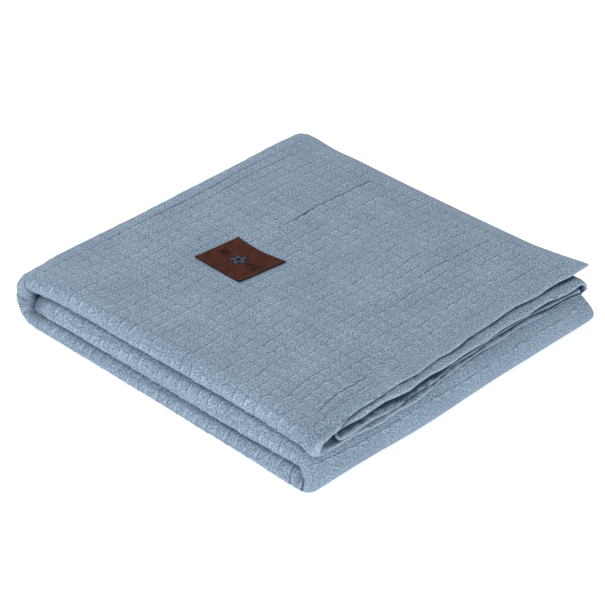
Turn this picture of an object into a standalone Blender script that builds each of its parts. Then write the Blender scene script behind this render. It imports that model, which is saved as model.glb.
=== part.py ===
"""A pique blanket folded into four layers and three panels, with a sewn leather patch.

The cloth is one rectangle with narrow hems. It is first rolled over itself into a strip four layers
deep, with its rounded turns at the front. The strip is then folded in three like a letter: the bottom
panel, the middle panel tucked in on it, and the top panel brought over both. A point of the cloth is
found in two steps: where it lies across the strip (forward place and layers deep), then where it lies
along the letter fold. Metres, +Z up, the origin on the floor under the middle of the footprint.
"""

import math

import bmesh
import bpy
import numpy as np
from mathutils import Matrix

# Folded size. X runs along the letter fold, Y from the rolled front to the hemmed back.
FOOTPRINT_X = 0.375
FOOTPRINT_Y = 0.356
HALF_X = FOOTPRINT_X / 2
HALF_Y = FOOTPRINT_Y / 2

# The cloth, and the spacing of its layers in each panel of the letter fold
CLOTH = 0.0024
HALF_CLOTH = CLOTH / 2
BOTTOM_PITCH = 0.0050
SHOULDER_PITCH = 0.0058
MIDDLE_PITCH = 0.0072
MIDDLE_END_PITCH = 0.0063
TOP_PITCH = 0.0059
TOP_HEM_PITCH = 0.0043
PANEL_GAP = 0.0016
LAYER_STEPS = 3

# Heights of the panels where the stack is at its fullest
BOTTOM_HEIGHT = LAYER_STEPS * BOTTOM_PITCH + CLOTH
SHOULDER_HEIGHT = LAYER_STEPS * SHOULDER_PITCH + CLOTH
TOP_HEIGHT = LAYER_STEPS * TOP_PITCH + CLOTH
MIDDLE_END_HEIGHT = LAYER_STEPS * MIDDLE_END_PITCH + CLOTH

# The two bends of the letter fold: the wrap at -X and the shoulder at +X, each pressed a little flat.
# The inner layers of the wrap are crowded inwards where it turns.
SHOULDER_RADIUS = (2 * SHOULDER_HEIGHT + PANEL_GAP) / 2
SHOULDER_FLAT = 0.90
WRAP_RADIUS = (BOTTOM_HEIGHT + MIDDLE_END_HEIGHT + TOP_HEIGHT + 2 * PANEL_GAP) / 2
WRAP_FLAT = 0.80
SHOULDER_X = HALF_X - HALF_CLOTH - (SHOULDER_RADIUS - HALF_CLOTH) * SHOULDER_FLAT
WRAP_X = -HALF_X + HALF_CLOTH + (WRAP_RADIUS - HALF_CLOTH) * WRAP_FLAT
WRAP_CROWD = 0.0033
MIDDLE_HEM_INSET = 0.008
MIDDLE_HEM_X = WRAP_X + MIDDLE_HEM_INSET
MIDDLE_FULL_RUN = 0.060
HEM_THIN_RUN = 0.070

# The turns across the strip: the outer and inner turns at the front, the tucked turn at the back
OUTER_TURN = 0.0093
INNER_TURN = 0.0030
BACK_TURN = 0.0058
INNER_TURN_INSET = 0.025
BACK_TURN_INSET = 0.012
TUCKED_HEM_INSET = 0.002
OUTER_TURN_Y = -HALF_Y + HALF_CLOTH + OUTER_TURN
INNER_TURN_Y = OUTER_TURN_Y + INNER_TURN_INSET
BACK_TURN_Y = HALF_Y - BACK_TURN_INSET - BACK_TURN
TUCKED_HEM_Y = BACK_TURN_Y - TUCKED_HEM_INSET

# How full the stack is at its corners, as a share of the full height, how much more the rolled front
# edge puffs up, and how much the middle of the back and the front left corner sink
FULLNESS_LEFT = 0.85
FULLNESS_FRONT = 0.95
FULLNESS_RIGHT = 0.88
FULLNESS_BACK = 1.02
FRONT_PUFF = 0.09
FRONT_PUFF_REACH = 0.045
BACK_SINK = 0.055
BACK_HEM_DROOP = 0.004
LEFT_DIP = 0.11
LEFT_DIP_REACH = 0.055

# The shoulder's swell, fullest over the front half of its length
SWELL = 0.0036
SWELL_Y = -0.050
SWELL_REACH = 0.072
SWELL_FROM_X = 0.060
SWELL_FULL_X = 0.168

# The back line of the top runs askew, from the short wrap to the spread corner over the shoulder, and
# the lower panels stop short of it
BACK_SKEW = 0.006
SKEW_CENTRE = 0.5
SKEW_HEIGHT = 0.055
LOWER_SHORT = 0.005
WRAP_ROUND = 0.006
WRAP_ROUND_REACH = 0.035
CORNER_REACH = 0.080
CORNER_SPREAD = 0.0070

# The uppermost layer lifts a little at its free corner, and the top panel bends down over the shoulder
CORNER_LIFT = 0.004
STEEPEST_DROOP = 0.60

# The upper half of the shoulder is drawn back at the free corner
DRAWN_BACK = 0.009
DRAWN_REACH = 0.055
DRAWN_FROM = 0.35
DRAWN_FULL = 0.80

# Near the hems the inner turn stands open: how far each layer is moved, in layers, and where
OPEN_LAYERS = (0.0, -0.38, 0.38, 0.0)
OPEN_FRONT = (-0.160, -0.150)
OPEN_BACK = (-0.060, 0.030)
OPEN_FROM = 0.75

# Ends of the four hems of the top panel, measured back from the shoulder's outermost line.
# Columns: place from front (-1) to back (+1), then layers one to four.
TOP_HEMS = (
    (-1.00, -0.0030, -0.0010, 0.0010, -0.0005),
    (-0.92, -0.0010, 0.0020, 0.0020, 0.0010),
    (-0.85, 0.0030, 0.0040, 0.0040, 0.0020),
    (-0.76, 0.0075, 0.0070, 0.0040, 0.0015),
    (-0.60, 0.0120, 0.0090, 0.0050, 0.0010),
    (-0.35, 0.0150, 0.0090, 0.0070, 0.0035),
    (0.00, 0.0170, 0.0100, 0.0110, 0.0100),
    (0.45, 0.0210, 0.0120, 0.0130, 0.0110),
    (0.85, 0.0190, 0.0100, 0.0090, 0.0100),
    (1.00, 0.0180, 0.0090, 0.0070, 0.0090),
)

# Spans of the grid across and along the cloth
TOP_LAYER_SPANS = 12
LAYER_SPANS = 8
OUTER_TURN_SPANS = 6
BACK_TURN_SPANS = 5
INNER_TURN_SPANS = 4
TOP_SPANS = 9
WRAP_SPANS = 8
BOTTOM_SPANS = 7
SHOULDER_SPANS = 7
MIDDLE_SPANS = 8

# The leather patch on the top panel, and the point of the top under its middle
PATCH_X = 0.061
PATCH_Y = 0.051
PATCH_THICKNESS = 0.0014
PATCH_CENTRE = (-0.0502, -0.0308)
PATCH_TURN = math.radians(-1.5)
PATCH_SPANS = 6
SEAT_GAP = 0.0003

# Whatever comes this near the floor is pressed flat onto it
FLOOR_REACH = 0.0001


def ease(start, end, value):
    """Rises smoothly from 0 at start to 1 at end."""
    share = np.clip((value - start) / (end - start), 0.0, 1.0)
    return share * share * (3.0 - 2.0 * share)


def bottom_pitch(x):
    """Spacing of the bottom panel's layers, which part a little towards the shoulder."""
    parted = ease(SHOULDER_X - MIDDLE_FULL_RUN, SHOULDER_X, x)
    return BOTTOM_PITCH + (SHOULDER_PITCH - BOTTOM_PITCH) * parted


def middle_pitch(x):
    """Spacing of the middle panel's layers: tight at the shoulder, full midway, less at its hem."""
    filled = SHOULDER_PITCH + (MIDDLE_PITCH - SHOULDER_PITCH) * ease(0.0, MIDDLE_FULL_RUN, SHOULDER_X - x)
    thinned = ease(0.0, MIDDLE_FULL_RUN, x - MIDDLE_HEM_X)
    return MIDDLE_END_PITCH + (filled - MIDDLE_END_PITCH) * thinned


def middle_top(x):
    """Height of the middle panel's upper face, which falls away over the rounded shoulder."""
    level = PANEL_GAP + 2 * CLOTH + LAYER_STEPS * (bottom_pitch(x) + middle_pitch(x))
    past = np.clip((x - SHOULDER_X) / (SHOULDER_FLAT * SHOULDER_RADIUS), 0.0, STEEPEST_DROOP)
    return level - SHOULDER_RADIUS * (1.0 - np.sqrt(1.0 - past * past))


def top_pitch(x):
    """Spacing of the top panel's layers, which lie closer towards their hems."""
    return TOP_PITCH + (TOP_HEM_PITCH - TOP_PITCH) * ease(HALF_X - HEM_THIN_RUN, HALF_X, x)


def top_face_level(x):
    """Height of the top panel's upper face where the stack is at its fullest."""
    return middle_top(x) + PANEL_GAP + LAYER_STEPS * top_pitch(x) + CLOTH


def top_hem(y, depth):
    """Where each layer of the top panel ends, along X."""
    table = np.array(TOP_HEMS)
    place = y / HALF_Y
    ends = np.array([np.interp(place, table[:, 0], table[:, 1 + layer]) for layer in range(4)])
    lower = np.clip(np.floor(depth), 0, 2).astype(int)
    share = depth - lower
    rows = np.arange(len(y))
    back = ends[lower, rows] * (1.0 - share) + ends[lower + 1, rows] * share
    return HALF_X - back


def across():
    """Stations across the strip, from the upper hem to the tucked one: forward place and layers deep."""
    places = []
    depths = []

    def straight(start, end, layer, spans):
        share = np.linspace(0.0, 1.0, spans + 1)[1:]
        places.extend(start + (end - start) * share)
        depths.extend(np.full(spans, float(layer)))

    def turn(centre, radius, first, last, spans):
        angle = np.linspace(0.0, math.pi, spans + 1)[1:]
        places.extend(centre + radius * np.sin(angle))
        depths.extend((first + last) / 2 + (first - last) / 2 * np.cos(angle))

    places.append(HALF_Y)
    depths.append(0.0)
    straight(HALF_Y, OUTER_TURN_Y, 0, TOP_LAYER_SPANS)
    turn(OUTER_TURN_Y, -OUTER_TURN, 0, 3, OUTER_TURN_SPANS)
    straight(OUTER_TURN_Y, BACK_TURN_Y, 3, LAYER_SPANS)
    turn(BACK_TURN_Y, BACK_TURN, 3, 1, BACK_TURN_SPANS)
    straight(BACK_TURN_Y, INNER_TURN_Y, 1, LAYER_SPANS)
    turn(INNER_TURN_Y, -INNER_TURN, 1, 2, INNER_TURN_SPANS)
    straight(INNER_TURN_Y, TUCKED_HEM_Y, 2, LAYER_SPANS)
    return np.array(places), np.array(depths)


def top_panel(y, depth, share):
    """The top panel, from the wrap to its hems."""
    x = WRAP_X + (top_hem(y, depth) - WRAP_X) * share
    free = ease(HALF_X - CORNER_REACH, HALF_X, x) * ease(HALF_Y - CORNER_REACH, HALF_Y, y)
    droop = BACK_HEM_DROOP * ease(BACK_TURN_Y, HALF_Y, y)
    change = (CORNER_LIFT * free - droop * (1.0 - free)) * np.clip(1.0 - depth, 0.0, 1.0)
    open_here = ease(*OPEN_FRONT, y) * (1.0 - ease(*OPEN_BACK, y)) * ease(OPEN_FROM, 1.0, share)
    level = depth + np.interp(depth, range(4), OPEN_LAYERS) * open_here
    return x, top_face_level(x) - HALF_CLOTH - level * top_pitch(x) + change, 0.0


def wrap(depth, share):
    """The bend at -X, from the top panel down to the bottom one."""
    angle = math.pi * share
    pitch = TOP_PITCH + (BOTTOM_PITCH - TOP_PITCH) * ease(0.0, 1.0, share) + WRAP_CROWD * math.sin(angle)
    radius = WRAP_RADIUS - HALF_CLOTH - depth * pitch
    return WRAP_X - WRAP_FLAT * radius * math.sin(angle), WRAP_RADIUS + radius * math.cos(angle), 0.0


def bottom_panel(depth, share):
    """The bottom panel, flat on the floor from the wrap to the shoulder."""
    x = np.full(len(depth), WRAP_X + (SHOULDER_X - WRAP_X) * share)
    return x, HALF_CLOTH + depth * bottom_pitch(x), 0.0


def shoulder(depth, share):
    """The bend at +X, from the bottom panel up to the middle one."""
    angle = math.pi * share
    radius = SHOULDER_RADIUS - HALF_CLOTH - depth * SHOULDER_PITCH
    x = SHOULDER_X + SHOULDER_FLAT * radius * math.sin(angle)
    drawn = DRAWN_BACK * ease(DRAWN_FROM, DRAWN_FULL, share)
    return x, SHOULDER_RADIUS - radius * math.cos(angle), drawn


def middle_panel(depth, share):
    """The middle panel, from the shoulder to its hem inside the wrap."""
    x = np.full(len(depth), SHOULDER_X + (MIDDLE_HEM_X - SHOULDER_X) * share)
    drawn = DRAWN_BACK * ease(SHOULDER_X - DRAWN_REACH, SHOULDER_X, x)
    return x, middle_top(x) - HALF_CLOTH - depth * middle_pitch(x), drawn


def fullness(x, y):
    """Share of the full height that the stack has at a place of the footprint."""
    right = np.clip((x + HALF_X) / FOOTPRINT_X, 0.0, 1.0)
    back = np.clip((y + HALF_Y) / FOOTPRINT_Y, 0.0, 1.0)
    front_edge = FULLNESS_LEFT + (FULLNESS_FRONT - FULLNESS_LEFT) * right
    back_edge = FULLNESS_BACK + (FULLNESS_RIGHT - FULLNESS_BACK) * right
    sink = BACK_SINK * 4.0 * right * (1.0 - right) * ease(0.0, 1.0, back)
    puff = FRONT_PUFF * np.exp(-back * FOOTPRINT_Y / FRONT_PUFF_REACH)
    near_left = ease(0.0, LEFT_DIP_REACH, LEFT_DIP_REACH - right * FOOTPRINT_X)
    dip = LEFT_DIP * near_left * ease(0.0, LEFT_DIP_REACH, LEFT_DIP_REACH - back * FOOTPRINT_Y)
    return front_edge + (back_edge - front_edge) * back - sink + puff - dip


def settle(x, y, z, drawn):
    """Lets the ideal folds settle: fuller and flatter corners, the swelling and drawn back shoulder."""
    at_corner = drawn * ease(HALF_Y - DRAWN_REACH, HALF_Y, y)
    swell = SWELL * np.exp(-(((y - SWELL_Y) / SWELL_REACH) ** 2))
    moved_x = x + swell * ease(SWELL_FROM_X, SWELL_FULL_X, x)
    height = HALF_CLOTH + (z - HALF_CLOTH) * fullness(x, y)
    rise = np.clip(height / SKEW_HEIGHT, 0.0, 1.0)
    spread = CORNER_SPREAD * ease(HALF_X - CORNER_REACH, HALF_X, x)
    askew = BACK_SKEW * (x / HALF_X - SKEW_CENTRE) + spread
    skew = askew * rise - LOWER_SHORT * (1.0 - rise)
    rounding = WRAP_ROUND * ease(0.0, WRAP_ROUND_REACH, WRAP_ROUND_REACH - HALF_X - x)
    moved_y = y + (skew - rounding) * ease(0.0, HALF_Y, y)
    return moved_x - at_corner, moved_y - at_corner, height


def cloth_grid():
    """The middle surface of the cloth as a grid of points, one row for each station along it."""
    y, depth = across()
    runs = (
        (lambda share: top_panel(y, depth, 1.0 - share), TOP_SPANS),
        (lambda share: wrap(depth, share), WRAP_SPANS),
        (lambda share: bottom_panel(depth, share), BOTTOM_SPANS),
        (lambda share: shoulder(depth, share), SHOULDER_SPANS),
        (lambda share: middle_panel(depth, share), MIDDLE_SPANS),
    )
    rows = []
    for order, (run, spans) in enumerate(runs):
        first = 0 if order == 0 else 1
        for step in range(first, spans + 1):
            x, z, drawn = run(step / spans)
            rows.append(np.stack(settle(x, y, z, drawn), axis=1))
    return np.array(rows)


def top_face(x, y):
    """Height of the top panel's upper face."""
    return HALF_CLOTH + (top_face_level(x) - HALF_CLOTH) * fullness(x, y)


def patch_grid():
    """The middle surface of the patch, which follows the cloth that carries it."""
    share = np.linspace(-0.5, 0.5, PATCH_SPANS + 1)
    along, forward = np.meshgrid(PATCH_X * share, PATCH_Y * share)
    grid_x = PATCH_CENTRE[0] + along * math.cos(PATCH_TURN) - forward * math.sin(PATCH_TURN)
    grid_y = PATCH_CENTRE[1] + along * math.sin(PATCH_TURN) + forward * math.cos(PATCH_TURN)
    lift = SEAT_GAP + PATCH_THICKNESS / 2
    return np.stack((grid_x, grid_y, top_face(grid_x, grid_y) + lift), axis=2)


def sheet(name, grid, thickness, material):
    """Makes a named solid sheet of even thickness from a grid of points on its middle surface."""
    shape = bmesh.new()
    points = [[shape.verts.new(point) for point in row] for row in grid.tolist()]
    for row, next_row in zip(points, points[1:]):
        for index in range(len(row) - 1):
            shape.faces.new((row[index], next_row[index], next_row[index + 1], row[index + 1]))
    mesh = bpy.data.meshes.new(name)
    shape.to_mesh(mesh)
    shape.free()
    mesh.shade_smooth()
    mesh.materials.append(material)
    part = bpy.data.objects.new(name, mesh)
    bpy.context.scene.collection.objects.link(part)
    wall = part.modifiers.new("Thickness", "SOLIDIFY")
    wall.thickness = thickness
    wall.offset = 0.0
    graph = bpy.context.evaluated_depsgraph_get()
    part.data = bpy.data.meshes.new_from_object(part.evaluated_get(graph))
    part.modifiers.clear()
    return part


def finish(name, colour, roughness):
    """A plain material with one colour."""
    material = bpy.data.materials.new(name)
    material.use_nodes = True
    surface = material.node_tree.nodes["Principled BSDF"]
    surface.inputs["Base Color"].default_value = (*colour, 1.0)
    surface.inputs["Roughness"].default_value = roughness
    surface.inputs["Metallic"].default_value = 0.0
    return material


def clear_scene():
    """Removes whatever the scene holds."""
    for item in list(bpy.data.objects):
        bpy.data.objects.remove(item, do_unlink=True)


def lie_flat(part):
    """Presses the underside flat onto the floor."""
    for vertex in part.data.vertices:
        if vertex.co.z < FLOOR_REACH:
            vertex.co.z = 0.0


def centre_on_origin(parts):
    """Moves the parts together so that the box of the first one stands centred on the origin."""
    places = np.array([vertex.co for vertex in parts[0].data.vertices])
    middle = (places.min(axis=0) + places.max(axis=0)) / 2
    for part in parts:
        part.data.transform(Matrix.Translation((-middle[0], -middle[1], 0.0)))


def main():
    """Builds the blanket and its patch."""
    clear_scene()
    pique = finish("pique_cotton", (0.23, 0.32, 0.44), 0.9)
    leather = finish("brown_leather", (0.07, 0.026, 0.02), 0.6)
    cloth = sheet("pique_cloth", cloth_grid(), CLOTH, pique)
    patch = sheet("leather_patch", patch_grid(), PATCH_THICKNESS, leather)
    lie_flat(cloth)
    centre_on_origin((cloth, patch))


main()
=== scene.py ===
"""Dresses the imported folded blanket: its pique cloth, hem stitching and sewn leather patch.

The cloth is modelled as a maker handles it. It starts as the flat cut rectangle, gets its thickness,
is divided finely where it will show, and is then carried into its folds: a strip of four layers,
folded in three like a letter, with turned hems at the open end. The raised pique cells, the main
creases and the soft unevenness are laid on while it is folded. Metres, +Z up.
"""

import logging
import math
from dataclasses import dataclass
from enum import Enum

import bmesh
import bpy
import numpy as np
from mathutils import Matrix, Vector


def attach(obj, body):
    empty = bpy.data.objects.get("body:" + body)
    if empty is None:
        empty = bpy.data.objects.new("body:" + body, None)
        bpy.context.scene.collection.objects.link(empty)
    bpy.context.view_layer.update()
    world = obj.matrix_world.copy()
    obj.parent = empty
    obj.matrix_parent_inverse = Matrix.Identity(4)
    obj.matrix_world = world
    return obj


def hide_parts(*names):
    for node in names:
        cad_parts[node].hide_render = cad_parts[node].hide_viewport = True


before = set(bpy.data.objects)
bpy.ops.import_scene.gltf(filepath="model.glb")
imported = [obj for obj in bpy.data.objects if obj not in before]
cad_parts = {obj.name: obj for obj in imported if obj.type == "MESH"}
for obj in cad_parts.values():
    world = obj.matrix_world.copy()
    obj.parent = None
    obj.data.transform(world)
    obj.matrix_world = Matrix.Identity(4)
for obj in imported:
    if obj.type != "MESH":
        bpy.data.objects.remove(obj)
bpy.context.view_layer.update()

log = logging.getLogger("blanket")


def ease(start: float, end: float, value: np.ndarray) -> np.ndarray:
    """Rises smoothly from 0 to 1.

    Args:
        start: where the rise begins.
        end: where it is complete.
        value: the places to look at.

    Returns:
        The share risen at each place.
    """
    share = np.clip((value - start) / (end - start), 0.0, 1.0)
    return share * share * (3.0 - 2.0 * share)


def hill(value: np.ndarray, centre: float, reach: float) -> np.ndarray:
    """A soft hill of height 1 at its centre, near nothing two reaches away."""
    return np.exp(-(((value - centre) / reach) ** 2))


class Tone(Enum):
    """How a line of the weave shows: a light line as painted highlight, a dark line as painted shade."""

    LIGHT = "light"
    DARK = "dark"


Colour = tuple[float, float, float]
Repeats = tuple[float, float, float]
Span = tuple[float, float]
Ends = tuple[float, float, float, float]
Line = tuple[Ends, float, Tone, float]


@dataclass(frozen=True)
class Straight:
    """A stretch of the strip's section that runs straight, one layer deep in the stack."""

    length: float
    start: float
    end: float
    layer: float

    def at(self, share: np.ndarray) -> tuple[np.ndarray, np.ndarray]:
        """Forward place and depth in layers at each share of the stretch."""
        return self.start + (self.end - self.start) * share, np.full_like(share, self.layer)


@dataclass(frozen=True)
class Turn:
    """A rounded turn of the strip's section from one layer to another."""

    length: float
    centre: float
    radius: float
    first: float
    last: float

    def at(self, share: np.ndarray) -> tuple[np.ndarray, np.ndarray]:
        """Forward place and depth in layers at each share of the turn."""
        angle = math.pi * share
        middle = (self.first + self.last) / 2
        return (
            self.centre + self.radius * np.sin(angle),
            middle + (self.first - self.last) / 2 * np.cos(angle),
        )


@dataclass(frozen=True)
class Stack:
    """Sizes of the folded stack: its box, the spacing of its layers, its bends and its turns."""

    length: float = 0.375
    breadth: float = 0.356
    cloth: float = 0.0024
    shift_x: float = -0.001565
    shift_y: float = -0.004082

    bottom_spacing: float = 0.0050
    shoulder_spacing: float = 0.0058
    middle_spacing: float = 0.0072
    middle_end_spacing: float = 0.0063
    top_spacing: float = 0.0059
    top_hem_spacing: float = 0.0043
    panel_gap: float = 0.0016
    layer_steps: int = 3

    shoulder_flat: float = 0.90
    wrap_flat: float = 0.80
    wrap_crowd: float = 0.0033
    middle_hem_inset: float = 0.008
    middle_full_run: float = 0.060
    hem_thin_run: float = 0.070

    outer_turn: float = 0.0093
    inner_turn: float = 0.0030
    back_turn: float = 0.0058
    inner_turn_inset: float = 0.025
    back_turn_inset: float = 0.012
    tucked_hem_inset: float = 0.002

    fullness_left: float = 0.85
    fullness_front: float = 0.95
    fullness_right: float = 0.88
    fullness_back: float = 1.02
    front_puff: float = 0.09
    front_puff_reach: float = 0.045
    back_sink: float = 0.055
    back_hem_droop: float = 0.004
    left_dip: float = 0.11
    left_dip_reach: float = 0.055

    swell: float = 0.0036
    swell_y: float = -0.050
    swell_reach: float = 0.072
    swell_from_x: float = 0.060
    swell_full_x: float = 0.168

    back_skew: float = 0.006
    skew_centre: float = 0.5
    skew_height: float = 0.055
    lower_short: float = 0.005
    wrap_round: float = 0.006
    wrap_round_reach: float = 0.035
    corner_reach: float = 0.080
    corner_spread: float = 0.0070
    toe: float = 0.0028
    toe_reach: float = 0.085
    corner_lift: float = 0.004
    steepest_droop: float = 0.60
    drawn_back: float = 0.009
    drawn_reach: float = 0.055
    drawn_from: float = 0.35
    drawn_full: float = 0.80
    open_layers: tuple[float, ...] = (0.0, -0.38, 0.38, 0.0)
    open_front: tuple[float, float] = (-0.160, -0.150)
    open_back: tuple[float, float] = (-0.060, 0.030)
    open_from: float = 0.75

    @property
    def half_x(self) -> float:
        """Half the length."""
        return self.length / 2

    @property
    def half_y(self) -> float:
        """Half the breadth."""
        return self.breadth / 2

    @property
    def half_cloth(self) -> float:
        """Half the cloth's thickness."""
        return self.cloth / 2

    @property
    def shoulder_radius(self) -> float:
        """Outer radius of the bend between the bottom and the middle panel."""
        return (2 * (self.layer_steps * self.shoulder_spacing + self.cloth) + self.panel_gap) / 2

    @property
    def wrap_radius(self) -> float:
        """Outer radius of the bend that carries the top panel over the other two."""
        spacings = self.bottom_spacing + self.middle_end_spacing + self.top_spacing
        return (self.layer_steps * spacings + 3 * self.cloth + 2 * self.panel_gap) / 2

    @property
    def shoulder_x(self) -> float:
        """Where the bend at +X begins."""
        return self.half_x - self.half_cloth - (self.shoulder_radius - self.half_cloth) * self.shoulder_flat

    @property
    def wrap_x(self) -> float:
        """Where the bend at -X begins."""
        return -self.half_x + self.half_cloth + (self.wrap_radius - self.half_cloth) * self.wrap_flat

    @property
    def middle_hem_x(self) -> float:
        """Where the middle panel ends, inside the bend at -X."""
        return self.wrap_x + self.middle_hem_inset

    @property
    def outer_turn_y(self) -> float:
        """Centre line of the rolled front edge."""
        return -self.half_y + self.half_cloth + self.outer_turn

    @property
    def inner_turn_y(self) -> float:
        """Centre line of the inner turn behind the rolled front edge."""
        return self.outer_turn_y + self.inner_turn_inset

    @property
    def back_turn_y(self) -> float:
        """Centre line of the turn at the back."""
        return self.half_y - self.back_turn_inset - self.back_turn


# Set-backs of the four hems of the top panel from the stack's end, in metres.
# Columns: place from front (-1) to back (+1), then layers one to four.
TOP_HEMS = (
    (-1.00, -0.0030, -0.0010, 0.0010, -0.0005),
    (-0.92, -0.0010, 0.0020, 0.0020, 0.0010),
    (-0.85, 0.0030, 0.0040, 0.0040, 0.0020),
    (-0.76, 0.0075, 0.0070, 0.0040, 0.0015),
    (-0.60, 0.0120, 0.0090, 0.0050, 0.0010),
    (-0.35, 0.0150, 0.0090, 0.0070, 0.0035),
    (0.00, 0.0170, 0.0100, 0.0110, 0.0100),
    (0.45, 0.0210, 0.0120, 0.0130, 0.0110),
    (0.85, 0.0190, 0.0100, 0.0090, 0.0100),
    (1.00, 0.0180, 0.0090, 0.0070, 0.0090),
)

# Soft forms of the top, in metres. Columns: x, y, reach along x, reach along y, height.
TOP_FORMS = (
    (-0.120, 0.060, 0.030, 0.070, 0.0007),
    (-0.075, -0.090, 0.045, 0.030, -0.0008),
    (-0.020, 0.040, 0.025, 0.060, -0.0006),
    (0.045, 0.095, 0.035, 0.040, 0.0008),
    (0.060, -0.060, 0.030, 0.060, 0.0007),
    (0.110, 0.010, 0.020, 0.070, -0.0009),
    (0.150, 0.080, 0.022, 0.050, 0.0010),
    (0.140, -0.110, 0.030, 0.030, 0.0008),
    (-0.150, -0.060, 0.020, 0.050, -0.0006),
)

# Creases of the top, in metres. Columns: the two ends x, y and x, y, half width, depth (ridges below 0).
TOP_CREASES = (
    (-0.0624, 0.044, -0.0615, 0.152, 0.0024, 0.0009),
    (0.0667, -0.0567, 0.0889, 0.0682, 0.0026, -0.0005),
    (-0.0010, 0.150, -0.0010, -0.100, 0.0030, -0.0003),
    (-0.1180, 0.140, -0.1190, -0.010, 0.0050, 0.0005),
    (0.1130, 0.140, 0.1180, 0.030, 0.0050, 0.0005),
    (0.1600, -0.154, 0.1560, -0.120, 0.0022, 0.0009),
    (0.1450, -0.150, 0.1400, -0.118, 0.0026, 0.0006),
    (0.1000, -0.150, 0.0960, -0.110, 0.0040, 0.0005),
)

# Creases of the front, in metres, with painted shade in them. Columns: the two ends x, z and x, z, half
# width, depth, share of painted shade.
FRONT_CREASES = (
    (0.1707, 0.0225, 0.1700, 0.0030, 0.0020, 0.0026, 0.5),
    (0.1755, 0.0190, 0.1768, 0.0155, 0.0026, 0.0020, 0.6),
    (0.1625, 0.0120, 0.1612, 0.0030, 0.0018, 0.0012, 0.5),
    (-0.1598, 0.0332, -0.1701, 0.0458, 0.0020, 0.0018, 0.55),
    (-0.1705, 0.0277, -0.1798, 0.0294, 0.0018, 0.0016, 0.55),
    (-0.1798, 0.0294, -0.1897, 0.0270, 0.0018, 0.0014, 0.40),
    (-0.1722, 0.0234, -0.1778, 0.0208, 0.0017, 0.0016, 0.50),
    (-0.1778, 0.0208, -0.1888, 0.0126, 0.0018, 0.0014, 0.40),
    (-0.1731, 0.0147, -0.1581, 0.0166, 0.0018, 0.0016, 0.50),
    (-0.1593, 0.0125, -0.1607, 0.0083, 0.0016, 0.0012, 0.45),
)

# Lines of the weave on the top that show most, light ones as painted highlight and dark ones as painted
# shade. Columns: column border, the two ends y, tone, strength.
COLUMN_LINES = (
    (20.0, 0.046, 0.151, Tone.DARK, 0.40),
    (20.0, 0.042, 0.074, Tone.DARK, 0.90),
    (15.0, -0.105, 0.160, Tone.LIGHT, 0.55),
    (12.0, -0.080, 0.090, Tone.LIGHT, 0.45),
    (24.0, 0.000, 0.130, Tone.LIGHT, 0.42),
    (25.0, 0.000, 0.130, Tone.LIGHT, 0.42),
    (28.0, -0.100, 0.120, Tone.DARK, 0.35),
    (27.0, -0.020, 0.140, Tone.DARK, 0.35),
    (8.0, 0.060, 0.150, Tone.DARK, 0.35),
    (17.0, -0.160, -0.110, Tone.LIGHT, 0.45),
    (22.0, -0.160, -0.090, Tone.LIGHT, 0.45),
)

# Free lines on the top, in metres, light ones painted highlight and dark ones painted shade. Columns: the
# two ends x, y and x, y, half width, tone, strength.
FREE_LINES = (
    (0.0667, -0.0567, 0.0889, 0.0682, 0.00085, Tone.LIGHT, 0.65),
    (0.1617, -0.1548, 0.1514, -0.0807, 0.00075, Tone.DARK, 0.55),
    (0.1634, -0.1548, 0.1531, -0.0807, 0.00070, Tone.LIGHT, 0.50),
    (0.1705, -0.1600, 0.1640, -0.0707, 0.00060, Tone.DARK, 0.40),
    (0.1719, -0.1600, 0.1654, -0.0707, 0.00060, Tone.LIGHT, 0.45),
)

# Lines on the front, in metres: the dark ones painted shade in the slit and between the hem's folds, the
# light one a painted highlight beside them. Columns: the two ends x, z and x, z, half width, tone, strength.
FRONT_LINES = (
    (0.1707, 0.0225, 0.1700, 0.0030, 0.00125, Tone.DARK, 1.0),
    (0.1600, 0.0565, 0.1625, 0.0450, 0.00075, Tone.DARK, 0.55),
    (0.1622, 0.0570, 0.1650, 0.0450, 0.00070, Tone.LIGHT, 0.45),
    (0.1735, 0.0565, 0.1760, 0.0450, 0.00070, Tone.DARK, 0.45),
)

# Where the weave's columns lie on the flat cloth: distance from the open hem in metres, and column number.
COLUMN_PLACES = (
    (-0.0363, -2.20),
    (0.0000, 0.80),
    (0.1341, 11.88),
    (0.1689, 14.88),
    (0.2350, 20.00),
    (0.2816, 23.88),
    (0.2959, 24.95),
    (1.2032, 99.93),
)


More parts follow.
